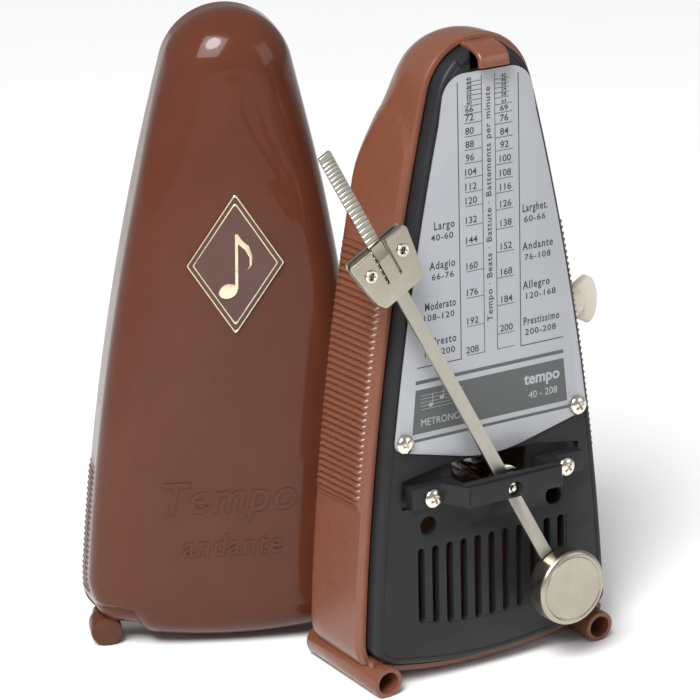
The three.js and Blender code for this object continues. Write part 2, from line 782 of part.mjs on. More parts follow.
// ---- Pendulum -----------------------------------------------------------
function pendulumRod() {
  const back = -rodFront + rodThick;
  const corners = [[back, -bobDrop - 4], [back, rodTop]];
  corners.push([-rodFront, rodTop]);
  let z = rodTop - 2.2;
  while (z > notchFirst) {
    const share = (z - notchFirst) / (rodTop - notchFirst);
    corners.push([-rodFront, z + 0.25]);
    corners.push([-rodFront + notchDepth, z + 0.15]);
    corners.push([-rodFront + notchDepth, z - 0.15]);
    corners.push([-rodFront, z - 0.25]);
    z -= THREE.MathUtils.lerp(notchPitchLow, notchPitchHigh, share);
  }
  corners.push([-rodFront, -bobDrop - 4]);
  const strip = sideSlab(corners, -rodWidth / 2, rodWidth / 2);
  const rivet = bar("y", 1 + 0.1, -99, 99, 0, -bobDrop);
  return cut(strip, [bar("y", axleRadius + 0.1, -99, 99, 0, 0), rivet]);
}

function pendulumAxle() {
  const front = bar("y", axleRadius, -bridgeFront + 0.4, lowBar[0] - 0.8, 0, 0);
  const pivot = bar("y", axleRadius - 0.4, lowBar[0] - 1, axleBack, 0, 0, 16);
  return front.add(pivot);
}

function pendulumHub() {
  const back = -rodFront + rodThick + seat;
  const disc = bar("y", hubRadius, back, back + 2.4, 0, 0, 32);
  return cut(disc, [bar("y", axleRadius + 0.1, -20, 20, 0, 0)]);
}

function palletFork() {
  const [depth] = escapeAt;
  const arms = [-1, 1].map((side) =>
    block(-0.7, 0.7, depth - 1.2, depth + 1.2, 0, palletReach).rotate([0, side * 32, 0]),
  );
  const boss = bar("y", 2.9, depth - 1.2, depth + 1.2, 0, 0);
  return cut(join([boss, ...arms]), [bar("y", axleRadius + 0.1, -20, 30, 0, 0)]);
}

function bobCap() {
  const r = bobRadius;
  const front = -bobFront;
  const back = front + bobThick;
  const face = r - 0.45;
  const outside = [[0, front], [face - 0.5, front], [face, front + 0.15], [r, front + 0.9],
    [r, back - 0.5], [r - 0.4, back]];
  const inside = [[r - bobSkin, back], [r - bobSkin, front + bobSkin + 0.3], [0, front + bobSkin]];
  const body = turned([...outside, ...inside], 0, -bobDrop, 32);
  const half = rodWidth / 2 + fit;
  return cut(body, [block(-half, half, -rodFront - fit, 0, -bobDrop, -bobDrop + bobRadius + 1)]);
}

function bobCore() {
  const front = -bobFront + bobSkin + 0.4 + seat;
  const core = bar("y", bobRadius - bobSkin - fit, front, -rodFront - fit, 0, -bobDrop, 24);
  return cut(core, [bar("y", 1.1, front + 1, 0, 0, -bobDrop, 20)]);
}

function bobRivet() {
  const back = -rodFront + rodThick + seat;
  const profile = [[0, -bobFront + bobSkin + 2], [1, -bobFront + bobSkin + 2], [1, back],
    [1.9, back], [1.6, back + 0.7], [0, back + 0.9]];
  return turned(profile, 0, -bobDrop, 20);
}

place(pendulum, "pendulum_rod", pendulumRod(), nickel);
place(pendulum, "pendulum_axle", pendulumAxle(), steel);
place(pendulum, "pendulum_hub", pendulumHub(), nickel);
place(pendulum, "pallet_fork", palletFork(), steel);
place(pendulum, "bob_cap", bobCap(), nickel);
place(pendulum, "bob_core", bobCore(), lead);
place(pendulum, "bob_rivet", bobRivet(), steel);

// ---- Sliding weight -----------------------------------------------------
const weightBottom = weightTop - weightLength;
const weightHalf = (z) =>
  THREE.MathUtils.mapLinear(z, weightBottom, weightTop, weightBottomHalf, weightTopHalf);

function weightOutline(shrink) {
  const corner = 1.6;
  const right = [
    [weightBottomHalf - corner, weightBottom],
    [weightBottomHalf - 0.4, weightBottom + 0.5],
    [weightHalf(weightBottom + corner), weightBottom + corner],
    [weightHalf(weightTop - 0.6), weightTop - 0.6],
    [weightTopHalf - 0.6, weightTop],
  ].map(([x, z]) => [x - shrink, z]);
  return [...right, ...right.slice().reverse().map(([x, z]) => [-x, z])];
}

const weightSkin = -rodFront - 0.25;
const eyeletHeight = weightBottom + 0.64 * weightLength;

function weightFront() {
  const front = weightSkin - weightPlate;
  const plate = slab(weightOutline(0), front, weightSkin);
  const cheeks = [-1, 1].map((side) => {
    const inner = side * (rodWidth / 2 + fit);
    const corners = [[inner, weightBottom + 0.1], [side * (weightBottomHalf - 1.7), weightBottom + 0.1],
      [side * (weightTopHalf - 1), weightTop - 0.1], [inner, weightTop - 0.1]];
    return slab(side > 0 ? corners : corners.reverse(), weightSkin - 0.2, weightSkin + 1);
  });
  const lip = block(-weightTopHalf + 0.6, weightTopHalf - 0.6, front - 0.35, front + 0.2,
    weightTop - 1.2, weightTop);
  const low = weightTop - tongueLength;
  const slots = [-1, 1].map((side) => {
    const near = (side * tongueWidth) / 2;
    const far = near + side * tongueSlot;
    return block(Math.min(near, far), Math.max(near, far), front - 1, weightSkin + 0.01,
      low, weightTop + 1);
  });
  const holes = [-1, 1].map((side) =>
    bar("y", eyeletHole + 0.45, -20, 0, side * eyeletGauge, eyeletHeight, 14),
  );
  return cut(join([plate, ...cheeks, lip]), [...slots, ...holes]);
}

function weightBack() {
  const front = -rodFront + rodThick + 0.25;
  const plate = slab(weightOutline(0.3), front, front + weightPlate);
  const holes = [-1, 1].map((side) =>
    bar("y", eyeletHole + 0.45, -20, 0, side * eyeletGauge, eyeletHeight, 14),
  );
  return cut(plate, holes);
}

// A short tube with a rolled rim, through both plates.
function eyelet(side) {
  const front = weightSkin - weightPlate - 0.1;
  const back = -rodFront + rodThick + 0.25 + weightPlate;
  const hole = eyeletHole;
  const profile = [[hole, front - 0.35], [eyeletRadius - 0.2, front - 0.4], [eyeletRadius, front],
    [hole + 0.35, front], [hole + 0.35, back], [hole, back], [hole, front - 0.35]];
  return turned(profile, side * eyeletGauge, eyeletHeight, 14);
}

place(pendulum, "weight_front", weightFront(), nickel);
place(pendulum, "weight_back", weightBack(), nickel);
place(pendulum, "eyelet_left", eyelet(-1), nickel);
place(pendulum, "eyelet_right", eyelet(1), nickel);

// ---- Front cover --------------------------------------------------------
function coverShell() {
  const rear = rimDepth - fit;
  const outer = tray(0, rear, -coverDepth, swell(coverEdge, coverDome));
  const inner = tray(wall, rear + 1, -coverDepth + wall, swell(coverEdge - wall, coverDome - wall));
  const hollow = stand(inner);
  const centre = tubeRadius - footFlat;
  const stubEnd = -tubeLength / 2 - fit;
  const feet = [-1, 1].map((side) => {
    const stub = footTube(side, stubFront, stubEnd, 0);
    const plug = bar("y", tubeBore - fit, stubEnd - 1, stubEnd + plugLength, side * footGauge, centre, 20);
    return stub.add(plug);
  });
  return cut(join([stand(outer), ...feet]), [hollow]);
}

const lozenge = (half, tall) =>
  [[0, -tall], [half, 0], [0, tall], [-half, 0]].map(([x, z]) => [x, badgeHeight + z]);

// A lozenge badge with a raised rim and a raised note.
function coverBadge() {
  const half = badgeWide / 2;
  const tall = badgeTall / 2;
  const face = -coverDepth - seat;
  const front = face - badgeThick;
  const plate = slab(lozenge(half, tall), front, face);
  const sink = slab(lozenge(half - 1.3, tall - 1.9), front - 1, front + 0.4);
  const head = bar("y", 2.4, front, face - 0.3, -1.5, badgeHeight - 6, 24);
  const stem = block(0.1, 0.9, front, face - 0.3, badgeHeight - 6, badgeHeight + 8);
  const flag = block(0.1, 4, front, face - 0.3, badgeHeight + 5.8, badgeHeight + 8);
  return join([cut(plate, [sink]), head, stem, flag]);
}

place(cover, "cover_shell", coverShell(), brown);
place(cover, "cover_badge", stand(coverBadge()), brass);

// ---- Origin at the middle of the footprint ------------------------------
const root = new THREE.Group();
root.add(metronome);
root.updateMatrixWorld(true);
const bounds = new THREE.Box3().setFromObject(metronome, true);
metronome.position.x = -(bounds.min.x + bounds.max.x) / 2;
metronome.position.y = -(bounds.min.y + bounds.max.y) / 2;
metronome.position.z = -bounds.min.z;
root.updateMatrixWorld(true);

export default root;
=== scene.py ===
"""Looks of a wind-up metronome that stands open, its front cover set down beside it."""

from math import atan, atan2, cos, hypot, pi, radians, sin, tan

import bpy
import bmesh
from mathutils import Matrix, Vector

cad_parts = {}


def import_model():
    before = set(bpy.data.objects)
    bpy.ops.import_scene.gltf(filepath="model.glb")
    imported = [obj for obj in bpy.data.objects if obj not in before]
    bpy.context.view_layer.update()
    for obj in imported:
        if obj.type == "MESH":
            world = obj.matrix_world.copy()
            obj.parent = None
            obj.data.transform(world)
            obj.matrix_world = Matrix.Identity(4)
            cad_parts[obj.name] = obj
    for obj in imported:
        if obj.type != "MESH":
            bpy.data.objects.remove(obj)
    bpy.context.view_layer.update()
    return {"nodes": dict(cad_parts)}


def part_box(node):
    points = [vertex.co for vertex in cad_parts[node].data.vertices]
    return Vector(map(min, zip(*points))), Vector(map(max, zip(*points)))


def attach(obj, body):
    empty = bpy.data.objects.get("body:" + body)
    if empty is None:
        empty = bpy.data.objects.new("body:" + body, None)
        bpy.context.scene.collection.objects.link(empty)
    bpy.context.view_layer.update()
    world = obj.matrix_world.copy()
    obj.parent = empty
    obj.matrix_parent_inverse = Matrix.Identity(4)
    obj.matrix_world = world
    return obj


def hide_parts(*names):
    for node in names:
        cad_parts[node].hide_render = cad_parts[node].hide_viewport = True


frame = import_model()

# ---- Dimensions, in millimetres ----
MM = 0.001
HEIGHT = 157.95
FOOT_HALF = 36.0
BULGE = 3.4
ARCH_R = 16.0
ARCH_FROM = radians(14.5)
BOTTOM_Z = 1.2
BOTTOM_R = 131.0
CORNER_R = 8.0
LEAN = radians(3.786)
FRONT_AT_FLOOR = -14.6
RIM = 4.0
BACK = 27.5
WALL = 1.8
DOME_FROM = 112.0
EDGE_R, DOME_IN, DOME_DEEP = 2.8, 14.4, 17.5
HOUSING_DOME = (122.0, 151.0)
INNER_EDGE, INNER_IN, INNER_DEEP = 3.2, 12.6, 15.7
SPINE = (26.0, 128.0)
RIB_LOW, RIB_HIGH, RIBS = 45.0, 111.0, 42
PIVOT = 48.9
SWING = radians(29)
TUBE_R, TUBE_BORE, TUBE_LENGTH, TUBE_FLAT = 3.9, 2.7, 31.0, 0.15
TUBE_Z = TUBE_R - TUBE_FLAT
FOOT_GAUGE = FOOT_HALF - 4.6
BOB_DROP = 32.2
KEY_AT = (13.5, 84.0)
COVER_PLACE = (-FOOT_HALF - 0.7, FOOT_HALF + 17.4)
COVER_TURN = radians(-23.3)
COVER_FRONT = -15.5
COVER_EDGE, COVER_DOME, COVER_CROWN = 9.0, 13.0, 0.7
SCALE_SCREW = (25.2, 62.7)
BRIDGE_SCREW_GAUGE = 19.5
CASE_SCREWS = ((-8.0, PIVOT), (8.0, PIVOT), (0.0, 94.8))
EYELET = (5.0, 70.47)
SIDES = ((-1, "left"), (1, "right"))

ARCH_Z = HEIGHT - ARCH_R
SIDE_TOP = ARCH_Z + ARCH_R * sin(ARCH_FROM)
SIDE_TOP_HALF = ARCH_R * cos(ARCH_FROM)
CORNER_X = FOOT_HALF - CORNER_R
CORNER_Z = BOTTOM_Z + CORNER_X ** 2 / (2 * BOTTOM_R) + CORNER_R

# ---- Frames ----
tube_l, tube_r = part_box("foot_tube_left"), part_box("foot_tube_right")
SHIFT = Vector(((tube_l[0].x + tube_r[1].x) / 2, (tube_l[0].y + tube_l[1].y) / 2, 0))
SCALE = Matrix.Scale(MM, 4)
UPRIGHT = Matrix.Translation(SHIFT) @ SCALE
TILT = Matrix.Translation((0, FRONT_AT_FLOOR, 0)) @ Matrix.Rotation(-LEAN, 4, "X")
LEANING = UPRIGHT @ TILT
PENDULUM = LEANING @ Matrix.Translation((0, 0, PIVOT)) @ Matrix.Rotation(-SWING, 4, "Y")
COVER_UPRIGHT = (UPRIGHT @ Matrix.Translation((*COVER_PLACE, 0))
                 @ Matrix.Rotation(COVER_TURN, 4, "Z"))
COVER = COVER_UPRIGHT @ TILT


# ---- Mesh tools ----
def placed(name, data):
    """A new object in the scene."""
    obj = bpy.data.objects.new(name, data)
    bpy.context.scene.collection.objects.link(obj)
    return obj


def solid(verts, faces):
    """A temporary mesh object in millimetres, its faces turned outwards."""
    mesh = bpy.data.meshes.new("solid")
    mesh.from_pydata([tuple(v) for v in verts], [], faces)
    bm = bmesh.new()
    bm.from_mesh(mesh)
    bmesh.ops.remove_doubles(bm, verts=bm.verts, dist=1e-5)
    bmesh.ops.recalc_face_normals(bm, faces=bm.faces)
    bm.to_mesh(mesh)
    bm.free()
    return placed("solid", mesh)


def discard(obj):
    mesh = obj.data
    bpy.data.objects.remove(obj)
    bpy.data.meshes.remove(mesh)


def baked(obj):
    """Applies the object's modifiers to its mesh."""
    graph = bpy.context.evaluated_depsgraph_get()
    graph.update()
    mesh = bpy.data.meshes.new_from_object(obj.evaluated_get(graph))
    old = obj.data
    obj.modifiers.clear()
    obj.data = mesh
    bpy.data.meshes.remove(old)
    return obj


def combine(obj, tools, operation):
    for tool in tools:
        mod = obj.modifiers.new("boolean", "BOOLEAN")
        mod.operation = operation
        mod.solver = "MANIFOLD"
        mod.object = tool
    baked(obj)
    for tool in tools:
        discard(tool)
    return obj


def cut(obj, *tools):
    return combine(obj, tools, "DIFFERENCE")


def join(obj, *tools):
    return combine(obj, tools, "UNION")


def bevel(obj, width, segments=2, angle=40):
    mod = obj.modifiers.new("bevel", "BEVEL")
    mod.width = width
    mod.segments = segments
    mod.limit_method = "ANGLE"
    mod.angle_limit = radians(angle)
    mod.use_clamp_overlap = True
    mod.miter_outer = "MITER_ARC"
    return baked(obj)


def bands(count, rows, closed=False):
    """Faces from each ring of points to the next, and from the last to the first if closed."""
    faces = []
    for r in range(rows if closed else rows - 1):
        here, there = r * count, (r + 1) % rows * count
        for i in range(count):
            j = (i + 1) % count
            faces.append((here + i, here + j, there + j, there + i))
    return faces


def loft(rings, end=True):
    """Rings joined in turn, with a face over the first and, unless end is False, the last."""
    count = len(rings[0])
    verts = [p for ring in rings for p in ring]
    faces = bands(count, len(rings)) + [tuple(range(count))]
    if end:
        faces.append(tuple(range(len(verts) - count, len(verts))))
    return solid(verts, faces)


def hoop(rings):
    """Rings joined in turn and the last to the first."""
    return solid([p for ring in rings for p in ring], bands(len(rings[0]), len(rings), True))


def slab(outline, d0, d1):
    """An outline of (u, v) points given thickness in depth."""
    return loft([[(u, d, v) for u, v in outline] for d in (d0, d1)])


def rectangle(u0, u1, v0, v1):
    return [(u0, v0), (u1, v0), (u1, v1), (u0, v1)]


def block(u0, u1, d0, d1, v0, v1):
    return slab(rectangle(u0, u1, v0, v1), d0, d1)


def across(outline, u0, u1):
    """An outline of (d, v) points given width in u."""
    return loft([[(u, d, v) for d, v in outline] for u in (u0, u1)])


def lathe(profile, u=0.0, v=0.0, count=64):
    """Turns a profile of (radius, depth), which starts and ends on the axis or closes on itself."""
    rings = []
    for radius, depth in profile:
        rings.append([(u + radius * cos(2 * pi * i / count), depth,
                       v + radius * sin(2 * pi * i / count))
                      for i in range(count)])
    if profile[0][0] > 0:
        return hoop(rings)
    inner = rings[1:-1]
    verts = [p for ring in inner for p in ring]
    first, last = len(verts), len(verts) + 1
    verts += [(u, profile[0][1], v), (u, profile[-1][1], v)]
    faces = bands(count, len(inner))
    top = (len(inner) - 1) * count
    for i in range(count):
        j = (i + 1) % count
        faces.append((first, j, i))
        faces.append((last, top + i, top + j))
    return solid(verts, faces)


def rod(radius, d0, d1, u=0.0, v=0.0, edge=0.0, count=48):
    """A round bar along the depth axis with softened ends."""
    profile = [(0, d0)]
    if edge > 0:
        profile += [(radius - edge, d0), (radius - edge * 0.3, d0 + edge * 0.3)]
        profile += [(radius, d0 + edge), (radius, d1 - edge)]
        profile += [(radius - edge * 0.3, d1 - edge * 0.3), (radius - edge, d1)]
    else:
        profile += [(radius, d0), (radius, d1)]
    return lathe(profile + [(0, d1)], u, v, count)


def screw_hole(u, v, d0, d1):
    return rod(1.2, d0, d1, u, v, count=24)


def turned(obj, matrix):
    obj.data.transform(matrix)
    return obj


def on_key_axis(obj, start=0.0):
    """Turns a piece from the depth axis to the key's axis, that far out from the middle."""
    turned(obj, Matrix.Rotation(radians(-90), 4, "Z"))
    return turned(obj, Matrix.Translation((start, *KEY_AT)))


def below(level):
    """All the room under a level."""
    return block(-99, 99, -99, 99, -9, level)


def tube_room(side, radius):
    """The room that a foot tube takes, seen from the leaning frame."""
    return turned(rod(radius, -40, 40, side * FOOT_GAUGE, TUBE_Z), TILT.inverted())


def round_corners(points, radius, steps=5):
    """Rounds each corner of a polygon of (u, v) points. A point may carry its own radius."""
    made = []
    count = len(points)
    for i in range(count):
        here = Vector(points[i][:2])
        before = Vector(points[i - 1][:2]) - here
        after = Vector(points[(i + 1) % count][:2]) - here
        own = points[i][2] if len(points[i]) > 2 else radius
        half = before.angle(after) / 2
        if own <= 0 or half > radians(88):
            made.append(tuple(here))
            continue
        reach = min(own / tan(half), before.length * 0.49, after.length * 0.49)
        own = reach * tan(half)
        start = here + before.normalized() * reach
        end = here + after.normalized() * reach
        centre = here + (before.normalized() + after.normalized()).normalized() * (
            own / sin(half))
        a0 = atan2(start.y - centre.y, start.x - centre.x)
        a1 = atan2(end.y - centre.y, end.x - centre.x)
        turn = (a1 - a0 + pi) % (2 * pi) - pi
        for k in range(steps + 1):
            a = a0 + turn * k / steps
            made.append((centre.x + own * cos(a), centre.y + own * sin(a)))
    return made


def circle(u, v, radius, count=40, squash=1.0):
    return [(u + radius * cos(2 * pi * i / count),
             v + radius * squash * sin(2 * pi * i / count)) for i in range(count)]


def piece(name, obj, matrix, material, body, stands_for, angle=32):
    """Names a solid, puts it in the row frame, gives it its material, hangs it from its body and hides the
    nodes it stands for.
    """
    mesh = obj.data
    obj.name = mesh.name = name
    mesh.transform(matrix)
    mesh.materials.clear()
    mesh.materials.append(material)
    mesh.polygons.foreach_set("use_smooth", [True] * len(mesh.polygons))
    mesh.set_sharp_from_angle(angle=radians(angle))
    mesh.update()
    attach(obj, body)
    if stands_for:
        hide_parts(*stands_for)


def skin(node, obj, matrix, material, body, angle=32):
    """A piece that takes the place of one node."""
    piece(node + "_look", obj, matrix, material, body, [node], angle)


# ---- Materials ----
def link(tree, a, b):
    tree.links.new(a, b)


def node(tree, kind, **inputs):
    """A shader node. Each input is a socket to link or a constant."""
    made = tree.nodes.new("ShaderNode" + kind)
    for name, value in inputs.items():
        socket = made.inputs[name.replace("_", " ")]
        if isinstance(value, bpy.types.NodeSocket):
            link(tree, value, socket)
        else:
            socket.default_value = value
    return made


def noise(tree, scale, detail=4.0, rough=0.6, stretch=None):
    """Noise over the object. stretch is a scale and a rotation for its coordinates."""
    place = node(tree, "TexCoord").outputs["Object"]
    if stretch:
        place = node(tree, "Mapping", Scale=stretch[0], Rotation=stretch[1], Vector=place).outputs[0]
    made = node(tree, "TexNoise", Scale=scale, Detail=detail, Roughness=rough, Vector=place)
    return made.outputs["Fac"]


def ramp(tree, value, stops):
    made = node(tree, "ValToRGB", Fac=value)
    elements = made.color_ramp.elements
    while len(elements) < len(stops):
        elements.new(0.5)
    for element, (place, colour) in zip(elements, stops):
        element.position = place
        element.color = (*colour, 1.0)
    return made.outputs["Color"]


def ranged(tree, value, low, high, start=0.3, end=0.7):
    made = node(tree, "MapRange", Value=value, From_Min=start, From_Max=end, To_Min=low, To_Max=high)
    return made.outputs["Result"]


def mix(tree, fac, a, b):
    made = node(tree, "Mix")
    made.data_type = "RGBA"
    link(tree, fac, made.inputs[0])
    for socket, value in ((made.inputs[6], a), (made.inputs[7], b)):
        if isinstance(value, tuple):
            socket.default_value = (*value, 1.0)
        else:
            link(tree, value, socket)
    return made.outputs[2]


def calculated(tree, operation, *values):
    """A math node. Each value is a socket or a number."""
    made = node(tree, "Math")
    made.operation = operation
    for socket, value in zip(made.inputs, values):
        if isinstance(value, float):
            socket.default_value = value
        else:
            link(tree, value, socket)
    return made.outputs[0]


def bumped(tree, shader, heights):
    """Stacks bumps, each (height socket, distance in metres, strength)."""
    last = None
    for height, distance, strength in heights:
        bump = node(tree, "Bump", Distance=distance, Strength=strength, Height=height)
        if last:
            link(tree, last, bump.inputs["Normal"])
        last = bump.outputs["Normal"]
    link(tree, last, shader.inputs["Normal"])


def blank(name, **constants):
    material = bpy.data.materials.new(name)
    material.use_nodes = True
    tree = material.node_tree
    shader = tree.nodes["Principled BSDF"]
    for key, value in constants.items():
        shader.inputs[key.replace("_", " ")].default_value = value
    return material, tree, shader


def edge_wear(tree, start, end):
    """Worn edges: where the surface turns sharply outwards, broken up by noise."""
    turning = node(tree, "NewGeometry").outputs["Pointiness"]
    edge = ranged(tree, turning, 0.0, 1.0, start, end)
    broken = ranged(tree, noise(tree, 900.0), 0.0, 1.0, 0.45, 0.62)
    return calculated(tree, "MULTIPLY", edge, broken)


def hairlines(tree):
    """Fine lines that run one way."""
    value = noise(tree, 700.0, 2.0, 0.4, ((0.04, 1.0, 1.0), (0.3, 0.5, 0.8)))
    return ranged(tree, value, 0.0, 1.0, 0.52, 0.62)


def plastic(name, low, high, rough, coat=0.0, coat_rough=0.1, grain=0.00002, worn=None,
            scale=60.0, metallic=0.0, gloss=0.5):
    material, tree, shader = blank(name, IOR=1.5, Coat_Weight=coat, Coat_Roughness=coat_rough,
                                   Metallic=metallic, Specular_IOR_Level=gloss)
    colour = ramp(tree, noise(tree, scale, 6.0, 0.65), [(0.3, low), (0.7, high)])
    if worn:
        colour = mix(tree, edge_wear(tree, 0.52, 0.6), colour, worn)
    link(tree, colour, shader.inputs["Base Color"])
    mottled = ranged(tree, noise(tree, 180.0, 5.0, 0.7), rough * 0.8, rough * 1.25)
    roughness = calculated(tree, "MULTIPLY_ADD", hairlines(tree), 0.02, mottled)
    link(tree, roughness, shader.inputs["Roughness"])
    bumped(tree, shader, [(noise(tree, 45.0, 2.0, 0.5), 0.0004, 0.12),
                          (noise(tree, 2600.0, 3.0, 0.6), grain, 0.5)])
    return material


def metal(name, low, high, rough, brush=None, grain=0.00001, spot=None):
    material, tree, shader = blank(name, Metallic=1.0)
    colour = ramp(tree, noise(tree, 90.0, 6.0, 0.7), [(0.3, low), (0.7, high)])
    if spot:
        spots = ranged(tree, noise(tree, 420.0, 8.0, 0.75), 0.0, 0.7, 0.6, 0.72)
        colour = mix(tree, spots, colour, spot)
    link(tree, colour, shader.inputs["Base Color"])
    link(tree, ranged(tree, noise(tree, 240.0, 6.0, 0.75), rough * 0.75, rough * 1.3),
         shader.inputs["Roughness"])
    heights = [(noise(tree, 1500.0, 4.0, 0.6), grain, 0.5)]
    if brush:
        heights.append((noise(tree, 2200.0, 3.0, 0.6, ((0.03, 1.0, 1.0), brush)), grain * 1.5, 0.6))
    bumped(tree, shader, heights)
    return material


BROWN = plastic("brown_plastic_moulded", (0.150, 0.051, 0.027), (0.170, 0.060, 0.032), 0.30,
                coat=0.28, coat_rough=0.12, grain=0.000012, gloss=0.35)
BROWN_COVER = plastic("brown_plastic_glossy", (0.080, 0.0225, 0.0115), (0.091, 0.027, 0.0135), 0.2,
                      coat=0.34, coat_rough=0.06, grain=0.000006, gloss=0.1)
BROWN_FIELD = plastic("badge_lacquer", (0.060, 0.018, 0.013), (0.075, 0.023, 0.016), 0.22, coat=0.4)
BLACK = plastic("black_plastic_moulded", (0.0125, 0.0128, 0.0140), (0.0172, 0.0176, 0.0192), 0.42,
                grain=0.00004, gloss=0.25)
PLATE = plastic("scale_plate_paint", (0.365, 0.374, 0.400), (0.402, 0.411, 0.437), 0.42,
                grain=0.000006, scale=25.0, metallic=0.4)
INK = plastic("scale_ink", (0.018, 0.019, 0.022), (0.030, 0.032, 0.035), 0.5, grain=0.000004)
INK_BLOCK = plastic("scale_ink_block", (0.068, 0.071, 0.071), (0.084, 0.088, 0.088), 0.45,
                    grain=0.000004)
IVORY = plastic("ivory_plastic", (0.57, 0.505, 0.43), (0.64, 0.58, 0.505), 0.4, coat=0.2,
                grain=0.00002, worn=(0.85, 0.8, 0.72))
NICKEL = metal("nickel_satin", (0.395, 0.362, 0.293), (0.46, 0.427, 0.353), 0.30,
               brush=(0.0, 0.5, 0.2), spot=(0.40, 0.36, 0.30))
NICKEL_ROD = metal("nickel_rod", (0.375, 0.354, 0.305), (0.435, 0.413, 0.36), 0.36,
                   brush=(0.0, 1.08, 0.0), spot=(0.42, 0.38, 0.32))
NICKEL_BRIGHT = metal("nickel_polished", (0.74, 0.70, 0.60), (0.82, 0.78, 0.69), 0.14,
                      spot=(0.50, 0.45, 0.36))
STEEL = metal("steel_turned", (0.40, 0.41, 0.43), (0.52, 0.53, 0.55), 0.3, brush=(0.0, 0.0, 1.2),
              spot=(0.25, 0.22, 0.2))
BRASS = metal("brass_rolled", (0.62, 0.43, 0.17), (0.74, 0.54, 0.25), 0.3, brush=(0.2, 0.0, 0.7),
              spot=(0.36, 0.22, 0.09))
# Painted shade: the rolled brass darkened about five times over, for the movement plates deep inside the
# case.
BRASS_PAINTED_SHADE = metal("brass_painted_shade", (0.11, 0.075, 0.035), (0.17, 0.12, 0.055), 0.5,
                   brush=(0.2, 0.0, 0.7), spot=(0.05, 0.032, 0.018))
LEAD = metal("lead_cast", (0.17, 0.175, 0.19), (0.25, 0.26, 0.28), 0.55, grain=0.00004)
GILT = metal("gilt_line", (0.78, 0.66, 0.44), (0.9, 0.8, 0.58), 0.28, spot=(0.5, 0.38, 0.2))


# ---- The outline that every shell follows ----
def half_width(z):
    t = (z - CORNER_Z) / (SIDE_TOP - CORNER_Z)
    return FOOT_HALF + (SIDE_TOP_HALF - FOOT_HALF) * t + 4 * BULGE * t * (1 - t)


def half_slope(z):
    t = (z - CORNER_Z) / (SIDE_TOP - CORNER_Z)
    return ((SIDE_TOP_HALF - FOOT_HALF) + 4 * BULGE * (1 - 2 * t)) / (SIDE_TOP - CORNER_Z)


def spread(low, high, step):
    count = max(2, round((high - low) / step))
    return [low + (high - low) * i / count for i in range(count)]


def outline(fine_low, fine_high, fine_step, coarse=1.6, fillet=10, arch=26, bottom=18):
    """(x, z, nx, nz) round the whole outline, with closer points between two heights."""
    half = []
    for i in range(bottom):
        x = CORNER_X * i / bottom
        normal = Vector((x / BOTTOM_R, -1)).normalized()
        half.append((x, BOTTOM_Z + x * x / (2 * BOTTOM_R), normal.x, normal.y))
    slope = atan(CORNER_X / BOTTOM_R)
    for i in range(fillet + 1):
        turn = -pi / 2 + slope + (pi / 2 - slope) * i / fillet
        half.append((CORNER_X + CORNER_R * cos(turn), CORNER_Z + CORNER_R * sin(turn),
                     cos(turn), sin(turn)))
    low, high = max(fine_low, CORNER_Z + 0.5), min(fine_high, SIDE_TOP - 1)
    heights = spread(CORNER_Z, low, coarse)[1:] if low > CORNER_Z + 1 else []
    heights += spread(low, high, fine_step) + spread(high, SIDE_TOP, coarse)
    for z in heights:
        normal = Vector((1, -half_slope(z))).normalized()
        half.append((half_width(z), z, normal.x, normal.y))
    for i in range(arch + 1):
        turn = ARCH_FROM + (pi / 2 - ARCH_FROM) * i / arch
        half.append((ARCH_R * cos(turn), ARCH_Z + ARCH_R * sin(turn),
                     cos(turn), sin(turn)))
    half[0] = (0.0, half[0][1], 0.0, -1.0)
    half[-1] = (0.0, half[-1][1], 0.0, 1.0)
    return half + [(-x, z, -nx, nz) for x, z, nx, nz in half[-2:0:-1]]


def smooth(t):
    t = min(1.0, max(0.0, t))
    return t * t * (3 - 2 * t)


def swell(edge, dome, z, low=DOME_FROM, high=ARCH_Z):
    return edge + (dome - edge) * smooth((z - low) / (high - low))


def ring(base, place):
    """place(z) gives (inset, depth); relief is already in the inset."""
    made = []
    for x, z, nx, nz in base:
        inset, depth = place(x, z)
        made.append((x - nx * inset, depth, z - nz * inset))
    return made


def level_rings(base, places):
    """Rings with the same (inset, depth) all round."""
    return [ring(base, lambda x, z, at=at: at) for at in places]


def quarter(steps, first=1):
    """Angles up to a right angle."""
    return [pi / 2 * k / steps for k in range(first, steps + 1)]


def crowned(edge_ring, depth, rise, steps):
    """Rings that carry a shell's flat face in to a spine, with a slight crown."""
    rings = []
    for k in range(1, steps + 1):
        t = k / steps
        made = []
        for x, _, z in edge_ring:
            goal = min(SPINE[1], max(SPINE[0], z))
            made.append((x * (1 - t), depth + rise * (1 - (1 - t) ** 2),
                         z + (goal - z) * t))
        rings.append(made)
    return rings


def rib_relief(x, z, depth, low, high, count, front, back, pad, height):
    if z <= low or z >= high:
        return 0.0
    phase = (z - low) / (high - low) * count
    ends = smooth(min(1.0, phase / 2.5, (count - phase) / 2.5))
    across_depth = smooth((depth - front) / 1.6) * smooth((back - depth) / 0.9)
    wave = 0.5 - 0.5 * cos(2 * pi * phase)
    return across_depth * ends * (pad + height * wave ** 0.8)


# ---- Housing ----
def facet(z, depth):
    """The flat side facet stands a little proud, with a rounded upper front corner."""
    front, top, radius = 4.9, 139.0, 9.0
    across_z, across_d = z - (top - radius), (front + radius) - depth
    if across_z > 0 and across_d > 0:
        edge = radius - hypot(across_z, across_d)
    else:
        edge = min(top - z, depth - front)
    return 0.5 * smooth((edge + 0.25) / 0.9)


def levelled(rings):
    """Lifts the low part of a shell towards the back, so that its underside runs level."""
    def lift(d, z):
        return max(0.0, d - RIM) * tan(LEAN) * (1 - smooth((z - 8.0) / 50.0))

    return [[(x, d, z + lift(d, z)) for x, d, z in made] for made in rings]


